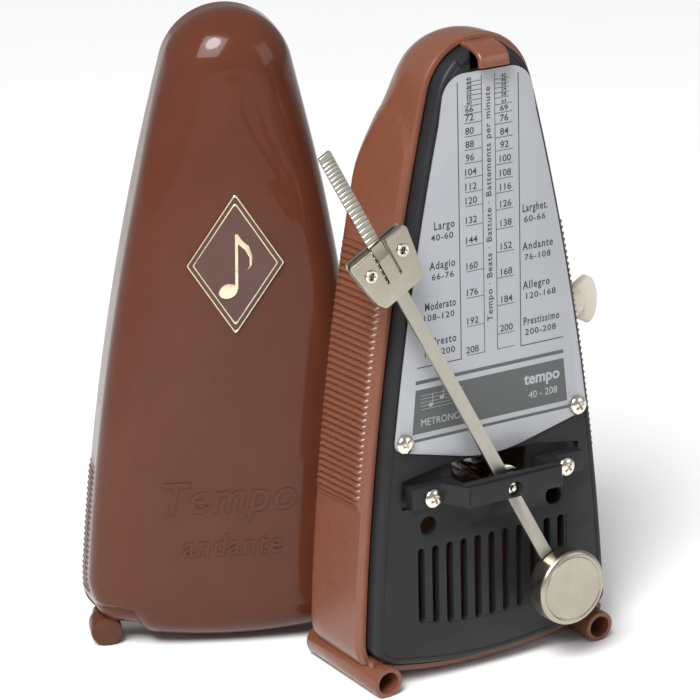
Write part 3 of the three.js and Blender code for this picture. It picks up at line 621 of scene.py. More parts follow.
def housing():
    step = (RIB_HIGH - RIB_LOW) / RIBS / 8
    base = outline(RIB_LOW, RIB_HIGH, step)
    rings = level_rings(base, [(WALL, RIM + 0.35), (WALL - 0.3, RIM), (0.6, RIM),
                               (0.25, RIM + 0.12), (0.04, RIM + 0.45)])
    side = [4.65, 4.85, 5.05, 5.25, 5.45, 5.65, 5.9, 6.3, 6.9, 7.6, 8.3]
    side += [8.9 + 0.9 * i for i in range(12)]

    def relief(x, z, depth):
        if abs(x) < 5:
            return 0.0
        ribs = rib_relief(x, z, depth, RIB_LOW, RIB_HIGH, RIBS, 5.0, 24.6, 0.85, 0.75)
        return facet(z, depth) + ribs if z > CORNER_Z - 8 else 0.0

    near, far, flat = 8.3, 18.8, BACK - 0.3
    for depth in side:
        def place(x, z, depth=depth):
            limit = flat - swell(EDGE_R, DOME_DEEP, z, *HOUSING_DOME)
            at = depth if depth <= near else near + (limit - near) * (depth - near) / (far - near)
            return (-relief(x, z, at), at)
        rings.append(ring(base, place))
    for turn in quarter(12):
        def place(x, z, turn=turn):
            at = flat - swell(EDGE_R, DOME_DEEP, z, *HOUSING_DOME) * (1 - sin(turn))
            fade = cos(turn) ** 2
            inset = swell(EDGE_R, DOME_IN, z, *HOUSING_DOME) * (1 - cos(turn))
            return (inset - relief(x, z, at) * fade, at)
        rings.append(ring(base, place))
    rings += crowned(rings[-1], flat, 0.3, 8)
    inner = [ring(base, lambda x, z: (WALL, BACK - WALL - swell(INNER_EDGE, INNER_DEEP, z)))]
    for turn in quarter(4):
        def place(x, z, turn=turn):
            return (WALL + swell(INNER_EDGE, INNER_IN, z) * (1 - cos(turn)),
                    BACK - WALL - swell(INNER_EDGE, INNER_DEEP, z) * (1 - sin(turn)))
        inner.append(ring(base, place))
    body = loft(levelled(inner[::-1] + rings), end=False)
    holes = [screw_hole(u, v, BACK - 5, BACK + 1) for u, v in CASE_SCREWS]
    key_hole = on_key_axis(rod(2.6, 10, 60))
    rooms = [tube_room(side, TUBE_R - 0.25) for side in (-1, 1)]
    underside = turned(below(0.3), TILT.inverted())
    body = cut(body, *holes, key_hole, *rooms, underside)
    return join(body, clip_tab())


def clip_tab():
    """The tab that holds the cover: it leaves the arch, bends forward and hangs over the plate."""
    path = [(9.0, 155.5), (4.4, 155.5), (2.0, 155.3), (-0.2, 154.9), (-1.8, 154.3), (-2.8, 153.4),
            (-3.1, 152.4), (-3.2, 151.1)]
    half, thick = 4.2, 0.85
    rings = []
    for i, (d, v) in enumerate(path):
        before, after = path[max(0, i - 1)], path[min(len(path) - 1, i + 1)]
        along = Vector((after[0] - before[0], after[1] - before[1])).normalized()
        normal = Vector((along.y, -along.x))
        section = round_corners(rectangle(-half, half, -thick, thick), 0.7, 5)
        rings.append([(u, d + normal.x * w, v + normal.y * w) for u, w in section])
    return loft(rings)


skin("housing_shell", housing(), LEANING, BROWN, "case", 38)


def foot_tube(side):
    """A foot tube with softened ends, a deep bore and the web that carries the housing."""
    r, b, end = TUBE_R, TUBE_BORE, TUBE_LENGTH / 2
    front, back = -end, end
    profile = [(0, back)]
    profile += [(r - 0.5, back), (r - 0.15, back - 0.15), (r, back - 0.5), (r, front + 0.35)]
    profile += [(r - 0.1, front + 0.1), (r - 0.35, front), (b + 0.3, front), (b + 0.08, front + 0.08)]
    profile += [(b, front + 0.3), (b, back - 3), (0, back - 3)]
    middle = side * FOOT_GAUGE
    tube = lathe(profile, middle, TUBE_Z, 72)
    web = round_corners([(middle - 2.6 * side, 5.0), (middle + 2.2 * side, 5.2),
                         (middle + 2.6 * side, 8.6), (middle - 3.4 * side, 7.6)], 0.5, 3)
    web = slab(web if side > 0 else web[::-1], front + 3.2, back - 4.0)
    return cut(join(tube, web), below(0))


for side, word in SIDES:
    skin("foot_tube_" + word, foot_tube(side), UPRIGHT, BROWN, "case", 38)

# ---- Front panel ----
PANEL_EDGE = WALL + 0.3


SLOTS, SLOT_PITCH, SLOT_WIDTH, SLOT_TOP = 11, 4.114, 1.85, 35.2


def slot_foot(x):
    """The slots' lower ends lie on an arc."""
    return 13.9 + x * x / 170


def slot_outline(index, grow):
    x = (index - SLOTS // 2) * SLOT_PITCH
    half = SLOT_WIDTH / 2 + grow
    low = slot_foot(x) + half - grow
    high = SLOT_TOP - half + grow
    points = [(x + half * cos(pi * k / 10), high + half * sin(pi * k / 10))
              for k in range(11)]
    points += [(x - half * cos(pi * k / 10), low - half * sin(pi * k / 10))
               for k in range(11)]
    return points


def slot_tool(index):
    levels = [(-0.5, 0.42), (0.0, 0.22), (0.08, 0.1), (0.3, 0.0), (3.0, 0.0)]
    return loft([[(u, d, v) for u, v in slot_outline(index, grow)] for d, grow in levels])


def vent_tool(side):
    profile = [(0, -0.5), (2.6, -0.5), (2.5, 0.0), (2.35, 0.08), (2.27, 0.3), (2.27, 3), (0, 3)]
    return lathe(profile, side * 18.4, 40.75, 48)


def panel():
    base = outline(60, 61, 0.5, coarse=2.2, fillet=12, arch=30)
    steps = [(0.0, 9.0), (0.0, 1.1), (0.08, 0.68), (0.32, 0.32), (0.68, 0.08), (1.1, 0.0),
             (1.5, 0.0), (1.56, 0.04), (1.62, 0.14), (1.82, 0.14), (1.88, 0.04), (1.95, 0.0)]

    def tray(profile):
        return [ring(base, lambda x, z, i=i, d=d: (
            PANEL_EDGE + 0.9 * smooth((CORNER_Z - z) / 6.0) + i, d)) for i, d in profile]

    inner = [(1.6, 9.0), (1.6, 2.4), (2.0, 2.0)]
    body = loft(tray(inner)[::-1] + tray(steps))
    tools = [slot_tool(i) for i in range(SLOTS)]
    for side in (-1, 1):
        tools.append(vent_tool(side))
        tools.append(screw_hole(side * SCALE_SCREW[0], SCALE_SCREW[1], -1, 4))
        tools.append(screw_hole(side * BRIDGE_SCREW_GAUGE, PIVOT, -1, 4))
    tools.append(slab(round_corners(rectangle(-11, 11, 44.6, 55), 0.8), -1, 4))
    pocket = [(-25.9, 45.9), (25.9, 45.9), (25.9, 53.2), (13.4, 55.3), (-13.4, 55.3), (-25.9, 53.2)]
    tools.append(slab(round_corners(pocket, 0.5), -1, 1.0))
    foot = [(x, slot_foot(x)) for x in (-22.3, -17, -11, -5.5, 0, 5.5, 11, 17, 22.3)]
    field = round_corners([(-22.3, SLOT_TOP), *foot, (22.3, SLOT_TOP)], 0.0)
    tools.append(slab(field, -1, 0.12))
    tools.append(block(-4.6, 4.6, -2, 10, 150, 160))
    tools += [tube_room(side, TUBE_R + 0.1) for side in (-1, 1)]
    body = cut(body, *tools)
    lug = slab(round_corners(rectangle(-1.7, 1.7, -0.7, 0.7), 0.2), -0.7, 0.5)
    lug = turned(bevel(lug, 0.15), Matrix.Translation((-6.6, 0, 153.2))
                 @ Matrix.Rotation(radians(-30), 4, "Y"))
    return join(body, lug)


skin("front_panel", panel(), LEANING, BLACK, "case", 30)


# ---- Scale plate ----
def plate_outline():
    def edge(z):
        return half_width(z) - 3.6

    right = [(0.0, 54.5, 40.0), (21.2, 59.5, 6.0), (edge(62.0) + 0.15, 61.2, 2.4)]
    right += [(edge(z), z, 0.0) for z in range(66, 141, 3)]
    right += [(edge(141.0) - 1.25, 149.8, 6.5)]
    return round_corners(right + [(-x, z, r) for x, z, r in right[:0:-1]], 0.0, 10)


def scale_plate():
    plate = slab(plate_outline(), -0.7, -0.2)
    holes = [screw_hole(side * SCALE_SCREW[0], SCALE_SCREW[1], -2, 1) for side in (-1, 1)]
    return bevel(cut(plate, *holes), 0.07, 2, 60)


skin("scale_plate", scale_plate(), LEANING, PLATE, "case", 30)

# Heights of the tempo marks on the scale.
MARKS = {40: 147.6, 42: 147.1, 44: 146.6, 46: 146.05, 48: 145.5, 50: 145.0, 52: 144.4, 54: 143.8,
         56: 143.2, 58: 142.6, 60: 141.9, 63: 141.0, 66: 140.0, 69: 138.95, 72: 137.8, 76: 136.3,
         80: 134.6, 84: 133.05, 88: 131.4, 92: 129.85, 96: 128.2, 100: 126.5, 104: 124.7,
         108: 123.0, 112: 121.2, 116: 119.6, 120: 117.8, 126: 115.5, 132: 113.1, 138: 110.8,
         144: 108.2, 152: 105.1, 160: 101.9, 168: 98.8, 176: 95.4, 184: 92.0, 192: 88.4,
         200: 84.9, 208: 81.3}
LEFT_MARKS = (40, 44, 48, 52, 56, 60, 66, 72, 80, 88, 96, 104, 112, 120, 132, 144, 160, 176, 192,
              208)
PRINT = -0.70  # the plate's face
PRINT_RISE = 0.03
PRINT_SUNK = 0.05  # how far the print reaches into the plate


def stroke(u0, v0, u1, v1, width, rise=PRINT_RISE):
    along = Vector((u1 - u0, v1 - v0)).normalized() * width / 2
    aside = Vector((-along.y, along.x))
    a, b = Vector((u0, v0)), Vector((u1, v1))
    corners = [a - along - aside, b + along - aside, b + along + aside, a - along + aside]
    return slab([tuple(c) for c in corners], PRINT - rise, PRINT + PRINT_SUNK)


def text(words, u, v, height, align="CENTER", wide=1.0, turn=0.0, weight=0.0, spacing=1.0,
         rise=PRINT_RISE, lean=0.0):
    """Raised lettering in the plate's plane. height is that of a capital."""
    curve = bpy.data.curves.new("text", "FONT")
    curve.body = words
    curve.align_x = align
    curve.align_y = "CENTER"
    curve.size = height / 0.73
    curve.space_character = spacing
    curve.offset = weight
    curve.shear = lean
    curve.extrude = (rise + PRINT_SUNK) / 2
    curve.resolution_u = 3
    obj = placed("text", curve)
    graph = bpy.context.evaluated_depsgraph_get()
    mesh = bpy.data.meshes.new_from_object(obj.evaluated_get(graph))
    bpy.data.objects.remove(obj)
    bpy.data.curves.remove(curve)
    middle = PRINT - rise + (rise + PRINT_SUNK) / 2
    mesh.transform(Matrix.Translation((u, middle, v)) @ Matrix.Rotation(-turn, 4, "Y")
                   @ Matrix.Rotation(pi / 2, 4, "X") @ Matrix.Diagonal((wide, 1, 1, 1)))
    return placed("text", mesh)


def merged(parts):
    """Several separate solids as one mesh, without welding them."""
    bm = bmesh.new()
    for part in parts:
        bm.from_mesh(part.data)
    bmesh.ops.remove_doubles(bm, verts=bm.verts, dist=1e-5)
    mesh = bpy.data.meshes.new("merged")
    bm.to_mesh(mesh)
    bm.free()
    for part in parts:
        discard(part)
    return placed("merged", mesh)


def scale_print():
    parts = []
    fine, line = 0.16, 0.22
    for side in (-1, 1):
        parts.append(stroke(side * 1.87, 81.3, side * 1.87, 148.6, fine))
        parts.append(stroke(side * 8.66, 80.8, side * 8.66, 147.8, line))
        parts.append(stroke(side * 8.66, 80.8, side * 21.1, 80.8, line))
    for mark, v in MARKS.items():
        side = -1 if mark in LEFT_MARKS else 1
        parts.append(stroke(side * 1.95, v, side * (6.8 if mark >= 60 else 5.9), v, fine * 0.9))
        tall, lift = (1.7, 1.22) if mark >= 72 else (1.35, 0.95) if mark >= 66 else (0.85, 0.62)
        wide = 1.08 if mark >= 72 else 1.3
        parts.append(text(str(mark), side * 4.95 - 0.45, v + lift, tall, wide=wide, weight=0.02))
    parts.append(stroke(1.95, 81.3, 6.8, 81.3, fine * 0.9))
    for words, span, side, v in (
            ("Largo", "40-60", -1, 114.4), ("Adagio", "66-76", -1, 104.9),
            ("Moderato", "108-120", -1, 95.2), ("Presto", "168-200", -1, 86.4),
            ("Larghet.", "60-66", 1, 114.6), ("Andante", "76-108", 1, 105.2),
            ("Allegro", "120-168", 1, 95.6), ("Prestissimo", "200-208", 1, 86.6)):
        align = "RIGHT" if side < 0 else "LEFT"
        wide = 0.70 if len(words) > 7 else 0.82
        parts.append(text(words, side * 9.7 - 0.25, v, 2.0, align, wide, weight=0.04, spacing=1.18))
        parts.append(text(span, side * 10.15 - 0.25, v - 2.75, 1.55, align, 1.15, weight=0.02,
                          spacing=1.14))
    parts.append(text("Tempo · Beats · Battute · Battements per minute", -0.1, 117.2, 1.62,
                      turn=pi / 2, wide=1.14, spacing=1.12, weight=0.02))
    return merged(parts)


piece("scale_print", scale_print(), LEANING, INK, "case", (), 30)


def print_block():
    bars = (((-21.8, 76.75), (21.15, 76.75), (21.1, 77.65), (-21.75, 77.65)),
            ((-22.9, 62.55), (22.9, 62.55), (22.85, 63.3), (-22.85, 63.3)),
            ((-23.0, 64.55), (22.2, 64.55), (21.2, 75.4), (-21.8, 75.4)))
    return merged([slab(bar, PRINT - 0.02, PRINT + PRINT_SUNK) for bar in bars])


piece("scale_print_block", print_block(), LEANING, INK_BLOCK, "case", (), 30)


def print_light():
    """Pale lettering on the dark block: a staff with notes, and plain words."""
    rise = 0.045
    parts = [text("METRONOME", -20.6, 67.0, 1.85, "LEFT", 0.92, rise=rise),
             text("tempo", 20.0, 72.0, 2.9, "RIGHT", 1.0, weight=0.11, rise=rise),
             text("40 - 208", 19.3, 67.9, 1.85, "RIGHT", 1.0, rise=rise)]
    for k in range(5):
        parts.append(stroke(-20.4, 70.4 + 0.85 * k, -8.2, 70.4 + 0.85 * k, 0.1, rise))
    for u, v in ((-17.6, 71.2), (-14.4, 72.5), (-11.2, 71.9)):
        parts.append(slab(circle(u, v, 0.62, 24, 0.78), PRINT - rise - 0.004, PRINT + PRINT_SUNK))
        parts.append(stroke(u + 0.52, v, u + 0.52, v + 2.6, 0.16, rise + 0.004))
    return merged(parts)


piece("scale_print_light", print_light(), LEANING, PLATE, "case", (), 30)


# ---- Screws ----
def screw(u, v, face, length, side=-1, turn=20):
    head, dome, shank = 2.35, 1.25, 0.9
    profile = [(0, -dome)]
    for k in range(1, 11):
        a = radians(90 - 90 * k / 10)
        profile.append((head * cos(a) ** 0.9, -dome * 0.18 - dome * 0.82 * sin(a)))
    profile += [(head, -0.12), (head - 0.08, 0.0), (shank, 0.0), (shank, length), (0, length)]
    body = lathe(profile, 0, 0, 48)
    arms = []
    for quarter in range(2):
        arm = loft([[(u0, d, w) for u0, w in rectangle(-a, a, -b, b)]
                    for d, a, b in ((-dome - 1, 0.34, 1.6), (-dome + 0.2, 0.3, 1.25),
                                    (-dome + 0.8, 0.16, 0.45))])
        arms.append(turned(arm, Matrix.Rotation(radians(90 * quarter), 4, "Y")))
    body = cut(body, *arms)
    turned(body, Matrix.Rotation(radians(turn), 4, "Y"))
    if side > 0:
        turned(body, Matrix.Rotation(pi, 4, "Z"))
    return turned(body, Matrix.Translation((u, face, v)))


for side, word in SIDES:
    skin("scale_screw_" + word, screw(side * SCALE_SCREW[0], SCALE_SCREW[1], -0.9, 3.5, turn=28 + 30 * side),
          LEANING, NICKEL_BRIGHT, "case")
    skin("bridge_screw_" + word, screw(side * BRIDGE_SCREW_GAUGE, PIVOT, -3.7, 6.5, turn=10 + 35 * side),
          LEANING, NICKEL_BRIGHT, "case")
for (u, v), word in zip(CASE_SCREWS, ("left", "right", "top")):
    skin("case_screw_" + word, screw(u, v, BACK + 0.2, 8.5, 1, turn=15 + 3 * u), LEANING,
          NICKEL_BRIGHT, "case")


# ---- Bridge ----
def bridge():
    """The bar across the pendulum, with a ledge on top, sloping ends and two ears."""
    front, back = -10.3, -8.3
    plan = [(-14.3, front + 0.9, 0.2), (-13.5, front, 0.4), (13.5, front, 0.4),
            (14.3, front + 0.9, 0.2), (14.6, back - 0.2, 0.3), (16.9, -3.5, 0.5),
            (24.9, -3.5, 0.3), (24.9, -0.2, 0.2), (12.3, -0.2, 0.2), (12.3, back + 0.6, 0.4),
            (-12.3, back + 0.6, 0.4), (-12.3, -0.2, 0.2), (-24.9, -0.2, 0.2), (-24.9, -3.5, 0.3),
            (-16.9, -3.5, 0.5), (-14.6, back - 0.2, 0.3)]
    shape = round_corners(plan, 0.3, 3)
    bar = loft([[(x, y, z) for x, y in shape] for z in (46.9, 52.0)])
    bevel(bar, 0.28, 3)
    ledge = block(-14.0, 14.0, back - 1.15, back + 0.4, 51.5, 52.75)
    bevel(ledge, 0.2, 2)
    bar = join(bar, ledge)
    tools = [lathe([(0, front - 1), (2.35, front - 1), (2.1, front), (1.95, front + 0.12),
                    (1.85, front + 0.4), (1.85, back + 1), (0, back + 1)], 0, PIVOT, 48)]
    for side in (-1, 1):
        tools.append(screw_hole(side * BRIDGE_SCREW_GAUGE, PIVOT, -9, 1))
        groove = rectangle(side * 13.0, side * 14.2, 47.6, 51.2)[::side]
        tools.append(slab(round_corners(groove, 0.2), front - 1, front + 0.18))
    return cut(bar, *tools)


skin("bridge", bridge(), LEANING, BLACK, "case", 30)


# ---- Pendulum ----
ROD_FRONT, ROD_THICK, ROD_HALF = -7.2, 0.9, 1.7


def pendulum_rod():
    """A flat rod: notched along its upper part, plain below, bent into the bob at its tail."""
    front, back = ROD_FRONT, ROD_FRONT + ROD_THICK
    tail = -BOB_DROP - 3.6
    profile = [(back, tail), (back, 102.1), (back - 0.1, 102.3), (front + 0.1, 102.3),
               (front, 102.15)]
    z, notch = 100.4, 64.0
    while z > notch:
        share = (z - notch) / (102.3 - notch)
        profile += [(front, z + 0.34), (front + 0.07, z + 0.26), (front + 0.24, z + 0.05),
                    (front + 0.07, z - 0.1), (front, z - 0.16)]
        z -= 2.1 + (1.0 - 2.1) * share ** 0.7
    profile += [(front, -21.6), (front - 0.18, -22.2), (front - 0.12, -23.2), (front + 0.1, -23.8),
                (front + 0.1, tail)]
    section = across(profile, -ROD_HALF, ROD_HALF)
    corner = lambda s: slab([(s * 1.3, 102.6), (s * 1.8, 102.6), (s * 1.8, 101.9)][::s], -9, -5)
    section = cut(section, corner(1), corner(-1), rod(1.6, -9, -5, 0, 0, count=32),
                  rod(1.1, -9, -5, 0, -BOB_DROP, count=32))
    return bevel(section, 0.09, 2, 50)


def bob_cap():
    r, front, back = 9.4, -12.0, -6.2
    profile = [(0, front + 0.1), (4.5, front + 0.09), (7.3, front + 0.04), (7.75, front + 0.03),
               (7.95, front + 0.2), (8.12, front + 0.18), (8.3, front + 0.04)]
    for k in range(9):
        a = radians(90 * k / 8)
        profile.append((8.35 + 1.05 * sin(a), front + 1.05 * (1 - cos(a))))
    profile += [(r, back - 0.9), (r, back - 0.5), (r - 0.12, back - 0.15), (r - 0.4, back),
                (r - 0.8, back), (r - 0.8, front + 1.3), (r - 1.2, front + 0.95), (0, front + 0.95)]
    cap = lathe(profile, 0, -BOB_DROP, 128)
    slot = round_corners(rectangle(-2.1, 2.1, -BOB_DROP, -BOB_DROP + 10.6), 0.3)
    slot = slab(slot, ROD_FRONT - 0.5, 0)
    return cut(cap, slot)


def pendulum_axle():
    front = lathe([(0, -9.75), (0.4, -9.72), (0.65, -9.6), (0.75, -9.3), (0.75, -8.9), (1.5, -8.8),
                   (1.5, 16.2), (0, 16.2)], 0, 0, 40)
    return join(front, rod(1.1, 16.0, 19.4, 0, 0, 0.2, 32))


def pendulum_hub():
    back = ROD_FRONT + ROD_THICK + 0.2
    profile = [(0, back), (3.4, back), (3.65, back + 0.12), (3.75, back + 0.4),
               (3.75, back + 2.0), (3.6, back + 2.3), (3.3, back + 2.4), (0, back + 2.4)]
    return cut(lathe(profile, 0.9, 0.75, 64), rod(1.6, -9, 0, count=32))


skin("pendulum_rod", pendulum_rod(), PENDULUM, NICKEL_ROD, "pendulum", 25)
skin("bob_cap", bob_cap(), PENDULUM, NICKEL, "pendulum", 40)
skin("pendulum_axle", pendulum_axle(), PENDULUM, NICKEL_BRIGHT, "pendulum")
skin("pendulum_hub", pendulum_hub(), PENDULUM, NICKEL_BRIGHT, "pendulum")


# ---- Sliding weight ----
WEIGHT_SKIN = ROD_FRONT - 0.25


def weight_outline(shrink):
    right = [(5.5 - shrink, 61.0, 1.2), (6.9 - shrink, 63.2, 1.6), (7.9 - shrink, 68.0, 4.0),
             (8.75 - shrink, 74.4, 0.8), (8.1 - shrink, 75.8, 0.5)]
    return round_corners(right + [(-u, v, r) for u, v, r in right[::-1]], 0.5, 4)


def eyelet_holes():
    return [rod(1.3, -20, 0, side * EYELET[0], EYELET[1], count=32) for side in (-1, 1)]


def weight_front():
    front = WEIGHT_SKIN - 0.9
    plate = bevel(slab(weight_outline(0), front, WEIGHT_SKIN), 0.2, 3, 50)
    cheeks = []
    for side in (-1, 1):
        inner = side * 2.0
        cheek = [(inner, 61.2), (side * 4.9, 61.2), (side * 7.6, 75.4), (inner, 75.4)]
        cheeks.append(slab(cheek[::side], WEIGHT_SKIN - 0.2, WEIGHT_SKIN + 1.0))
    lip = slab(round_corners([(-8.35, 74.55), (8.35, 74.55), (8.0, 75.8), (-8.0, 75.8)], 0.3, 3),
               front - 0.35, front + 0.2)
    lip = bevel(lip, 0.16, 3, 50)
    body = join(plate, *cheeks, lip)
    low = 65.8
    slots = []
    for side in (-1, 1):
        near, far = side * 1.62, side * 2.32
        slot = round_corners(rectangle(near, far, low, 77)[::side], 0.3, 4)
        slots.append(slab(slot, front - 1, WEIGHT_SKIN + 0.01))
    ramp_cut = across([(front - 1.0, 72.0), (front + 0.02, 72.0), (front + 0.48, 74.1),
                       (front + 0.5, 77.0), (front - 1.0, 77.0)], -1.63, 1.63)
    return cut(body, *slots, *eyelet_holes(), ramp_cut)


def weight_back():
    front = ROD_FRONT + ROD_THICK + 0.25
    plate = bevel(slab(weight_outline(0.3), front, front + 0.9), 0.15, 2, 50)
    return cut(plate, *eyelet_holes())


def eyelet(side):
    front = WEIGHT_SKIN - 1.0
    back = ROD_FRONT + ROD_THICK + 0.25 + 0.9
    profile = [(0.9, front - 0.2), (1.0, front - 0.36), (1.2, front - 0.42), (1.45, front - 0.36),
               (1.6, front - 0.15), (1.6, front + 0.02), (1.25, front + 0.05), (1.25, back),
               (0.9, back)]
    return lathe(profile, side * EYELET[0], EYELET[1], 48)


skin("weight_front", weight_front(), PENDULUM, NICKEL, "sliding_weight", 25)
skin("weight_back", weight_back(), PENDULUM, NICKEL, "sliding_weight", 25)
for side, word in SIDES:
    skin("eyelet_" + word, eyelet(side), PENDULUM, NICKEL_BRIGHT, "sliding_weight")


# ---- Winding key ----
def winding_key():
    """A flat ivory wing on a round hub, its edges well rounded."""
    start = half_width(KEY_AT[1]) + 1.0 + 0.7 + 1.2
    reach = start + 9.8
    hub = lathe([(0, 0), (3.7, 0), (3.95, 0.2), (4.0, 0.6), (3.9, 2.6), (3.3, 4.1), (2.2, 4.6),
                 (0, 4.7)], 0, 0, 64)
    hub = on_key_axis(hub, start)
    d, v = KEY_AT
    points = [(start + 1.6, v - 3.2)]
    for k in range(17):
        turn = -pi / 2 + pi * k / 16
        points.append((reach - 3 + 3 * cos(turn), v + 6 * sin(turn)))
    points.append((start + 1.6, v + 3.2))
    wing = bevel(slab(points, d - 1.6, d + 1.6), 0.9, 5, 50)
    return cut(join(hub, wing), on_key_axis(rod(1.7, -1.0, 2.9), start))


skin("winding_key", winding_key(), LEANING, IVORY, "winding", 35)


# ---- Front cover ----
def rounded(z, turn, wall=0.0):
    """(inset, depth) on the rounding of the cover's front edge."""
    radius = swell(COVER_EDGE - wall, COVER_DOME - wall, z)
    depth = COVER_FRONT + wall + COVER_CROWN + (radius - COVER_CROWN) * (1 - sin(turn))
    return wall + radius * (1 - cos(turn)), depth


def held(inset, z):
    """Near the floor the inset stays short of the corner's centre."""
    return min(inset, 7.9) if z < CORNER_Z + 2 else inset


def cover_shell():
    low, high, count = 9.0, 47.0, 26
    base = outline(low, high, (high - low) / count / 8)
    rear, flat = RIM - 0.3, COVER_FRONT + COVER_CROWN

    def relief(x, z, depth):
        if abs(x) < 20:
            return 0.0
        ribs = rib_relief(x, z, depth, low, high, count, -5.0, 3.4, 0.1, 0.45)
        corner = smooth((18.0 - z) / 15.0) * smooth((abs(x) - 20.0) / 8.0)
        return ribs - (1.0 + 3.0 * smooth((2.0 - depth) / 8.0)) * corner

    rings = level_rings(base, [(WALL, rear - 0.3), (WALL - 0.3, rear), (0.45, rear),
                               (0.12, rear - 0.15)])
    rings.append(ring(base, lambda x, z: (-relief(x, z, rear - 0.5), rear - 0.5)))
    for k in range(1, 15):
        def place(x, z, k=k):
            limit = COVER_FRONT + swell(COVER_EDGE, COVER_DOME, z)
            at = rear - 0.5 + (limit - rear + 0.5) * k / 14
            return (-relief(x, z, at), at)
        rings.append(ring(base, place))
    for turn in quarter(18):
        def place(x, z, turn=turn):
            inset, at = rounded(z, turn)
            return (held(inset - min(0.0, relief(x, z, COVER_FRONT)), z), at)
        rings.append(ring(base, place))
    rings += crowned(rings[-1], flat, -COVER_CROWN, 12)
    inner = []
    for turn in quarter(8, 0):
        def place(x, z, turn=turn):
            inset, at = rounded(z, turn, WALL)
            return (held(inset, z), at)
        inner.append(ring(base, place))
    return loft(inner[::-1] + rings, end=False)


def cover_foot(side):
    """A solid stub at the cover's front corner, with the plug that enters the housing's tube."""
    end = -TUBE_LENGTH / 2 - 0.3
    r = TUBE_R
    front = -22.3
    profile = [(0, front), (r - 0.6, front), (r - 0.2, front + 0.15), (r, front + 0.6), (r, end - 0.3),
               (r - 0.3, end), (2.4, end), (2.4, end + 5.6), (2.0, end + 6.0), (0, end + 6.0)]
    return cut(lathe(profile, side * FOOT_GAUGE, TUBE_Z, 72), below(0))


def cover_inside():
    """The room inside the cover, to trim what reaches into it."""
    base = outline(60, 61, 0.5, coarse=4.0)
    rings = level_rings(base, [(WALL + 0.02, 8.0), (WALL + 0.02, COVER_FRONT + COVER_EDGE)])
    for turn in quarter(6):
        def place(x, z, turn=turn):
            inset, at = rounded(z, turn, WALL)
            return (held(inset + 0.02, z), at + 0.02)
        rings.append(ring(base, place))
    return loft(rings)


def cover():
    shell = turned(cover_shell(), TILT)
    feet = [cut(cover_foot(side), turned(cover_inside(), TILT)) for side in (-1, 1)]
    return join(shell, *feet)


skin("cover_shell", cover(), COVER_UPRIGHT, BROWN_COVER, "front_cover", 38)


BADGE_AT, BADGE_HALF, BADGE_TALL = 98.0, 11.8, 17.4


def lozenge(inset):
    """The badge's outline, moved in by the same amount all round."""
    shrink = inset * hypot(BADGE_HALF, BADGE_TALL) / (BADGE_HALF * BADGE_TALL)
    half, tall = BADGE_HALF * (1 - shrink), BADGE_TALL * (1 - shrink)
    return [(u, BADGE_AT + v) for u, v in round_corners(
        [(0, -tall), (half, 0), (0, tall), (-half, 0)], 0.5, 5)]


def badge_line(start, width, face, rise):
    """A raised line of rounded section that follows the outline."""
    profile = [(0, face), (0, face - rise * 0.7), (width * 0.25, face - rise),
               (width * 0.75, face - rise), (width, face - rise * 0.7), (width, face)]
    return hoop([[(u, depth, v) for u, v in lozenge(start + inset)] for inset, depth in profile])


def badge_field():
    face = COVER_FRONT - 0.1
    plate = bevel(slab(lozenge(0.0), face - 0.35, face + 0.3), 0.12, 2, 50)
    channel = cut(slab(lozenge(0.35), face - 2, face - 0.15), slab(lozenge(1.15), face - 3, face))
    return cut(plate, channel)


def badge_lines():
    """Gilt lines on both sides of the dark channel, round a plain note."""
    face = COVER_FRONT - 0.45
    low = BADGE_AT - 6.6
    head = slab([(u * cos(0.35) - v * sin(0.35) - 1.8,
                  u * sin(0.35) + v * cos(0.35) + low) for u, v in
                 circle(0, 0, 2.3, 40, 0.76)], face - 0.3, face + 0.01)
    stem = block(-0.1, 0.6, face - 0.3, face + 0.01, low + 0.5, low + 14.0)
    flag = slab([(0.6, low + 14), (0.6, low + 11.6), (2.3, low + 10.1), (3.4, low + 8.1),
                 (3.4, low + 6.1), (2.8, low + 4.9), (3.9, low + 6.3), (4.1, low + 8.5),
                 (3.2, low + 11.0), (1.5, low + 12.5)][::-1], face - 0.3, face + 0.01)
    return merged([badge_line(0.0, 0.34, face + 0.05, 0.3),
                   badge_line(1.2, 0.3, face + 0.05, 0.22),
                   bevel(join(head, stem, flag), 0.08, 2, 50)])


def cover_words():
    """Plain raised words low on the cover. They follow the crown of its face."""
    parts = [text("Tempo", -2.6, 39.0, 8.2, wide=1.0, spacing=1.06, weight=0.16, rise=0.3, lean=0.22),
             text("andante", -1.4, 26.8, 5.6, wide=0.92, spacing=1.1, weight=0.12, rise=0.3,
                  lean=0.22)]
    words = merged(parts)
    for vert in words.data.vertices:
        share = abs(vert.co.x) / (half_width(vert.co.z) - COVER_EDGE)
        vert.co.y += COVER_FRONT - PRINT + COVER_CROWN * share ** 2
    return words


piece("cover_badge_field", badge_field(), COVER, BROWN_FIELD, "front_cover", ["cover_badge"],
      35)
piece("cover_badge_lines", badge_lines(), COVER, GILT, "front_cover", (), 35)
piece("cover_words", cover_words(), COVER, BROWN_COVER, "front_cover", (), 35)

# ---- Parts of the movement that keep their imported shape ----
KEPT = (
    # The movement plates take the brass with painted shade.
    (BRASS_PAINTED_SHADE, "movement_plate_left movement_plate_right"),
    (BRASS, "barrel_drum barrel_lid second_wheel star_wheel_left star_wheel_right"),
    (LEAD, "bob_core"),
    (STEEL, "front_pillar_upper front_pillar_lower rear_bar_upper rear_bar_lower click_post"),
    (STEEL, "click_spring click pallet_fork bob_rivet winding_arbor ratchet_wheel mainspring"),
    (STEEL, "second_pinion escape_pinion"),
)
for name, material in [(name, material) for material, names in KEPT for name in names.split()]:
    kept = frame["nodes"][name]
    for index in range(len(kept.material_slots)):
        kept.material_slots[index].link = "DATA"
        kept.data.materials[index] = material
    if not kept.material_slots:
        kept.data.materials.append(material)


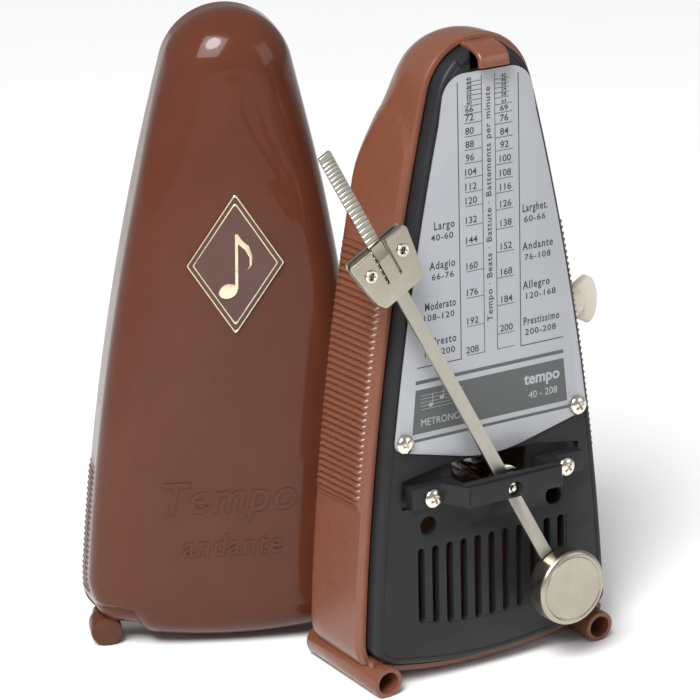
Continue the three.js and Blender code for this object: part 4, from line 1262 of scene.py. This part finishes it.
# ---- Floor, light and camera ----
def floor():
    mesh = bpy.data.meshes.new("floor")
    reach = 6.0
    mesh.from_pydata([(-reach, -reach, 0), (reach, -reach, 0), (reach, reach, 0),
                      (-reach, reach, 0)], [], [(0, 1, 2, 3)])
    obj = placed("floor", mesh)
    material, tree, shader = blank("floor_paper", Roughness=0.9)
    colour = ramp(tree, noise(tree, 3.0, 3.0, 0.5), [(0.3, (0.93, 0.93, 0.93)),
                                                     (0.7, (0.95, 0.95, 0.95))])
    link(tree, colour, shader.inputs["Base Color"])
    mesh.materials.append(material)


def panel_light(name, place, aim, size, power):
    data = bpy.data.lights.new(name, "AREA")
    data.shape = "RECTANGLE"
    data.size = data.size_y = size
    data.energy = power
    obj = placed(name, data)
    obj.location = place
    obj.rotation_mode = "QUATERNION"
    obj.rotation_quaternion = (Vector(aim) - Vector(place)).to_track_quat("-Z", "Y")


def sun(towards, strength, spread_angle):
    data = bpy.data.lights.new("sun", "SUN")
    data.energy = strength
    data.angle = radians(spread_angle)
    obj = placed("sun", data)
    obj.rotation_mode = "QUATERNION"
    obj.rotation_quaternion = Vector(towards).to_track_quat("Z", "Y")


def world():
    scene_world = bpy.data.worlds.new("studio")
    bpy.context.scene.world = scene_world
    scene_world.use_nodes = True
    background = scene_world.node_tree.nodes["Background"]
    background.inputs["Color"].default_value = (1.0, 1.0, 1.0, 1.0)
    background.inputs["Strength"].default_value = 0.34


def camera():
    data = bpy.data.cameras.new("camera")
    data.lens = 198.5
    data.sensor_width = 36.0
    data.clip_start, data.clip_end = 0.05, 50.0
    obj = placed("camera", data)
    place = Vector((-501.67, -711.68, 400.20)) * MM + SHIFT
    target = Vector((-33.717, 0.0, 84.551)) * MM + SHIFT
    roll = radians(0.803)
    forward = (target - place).normalized()
    right = forward.cross(Vector((0, 0, 1))).normalized()
    up = right.cross(forward)
    across_x = right * cos(roll) + up * sin(roll)
    across_y = up * cos(roll) - right * sin(roll)
    turn = Matrix((across_x, across_y, -forward)).transposed().to_4x4()
    obj.matrix_world = Matrix.Translation(place) @ turn
    bpy.context.scene.camera = obj


floor()
world()
sun((-0.52, -0.40, 0.76), 2.3, 22)
panel_light("top", (-0.32, -0.20, 0.50), (0, 0, 0.12), 0.35, 2.6)
panel_light("fill", (1.2, -1.4, 0.9), (0, 0, 0.06), 1.0, 5)
camera()
bpy.context.scene.view_settings.view_transform = "Standard"
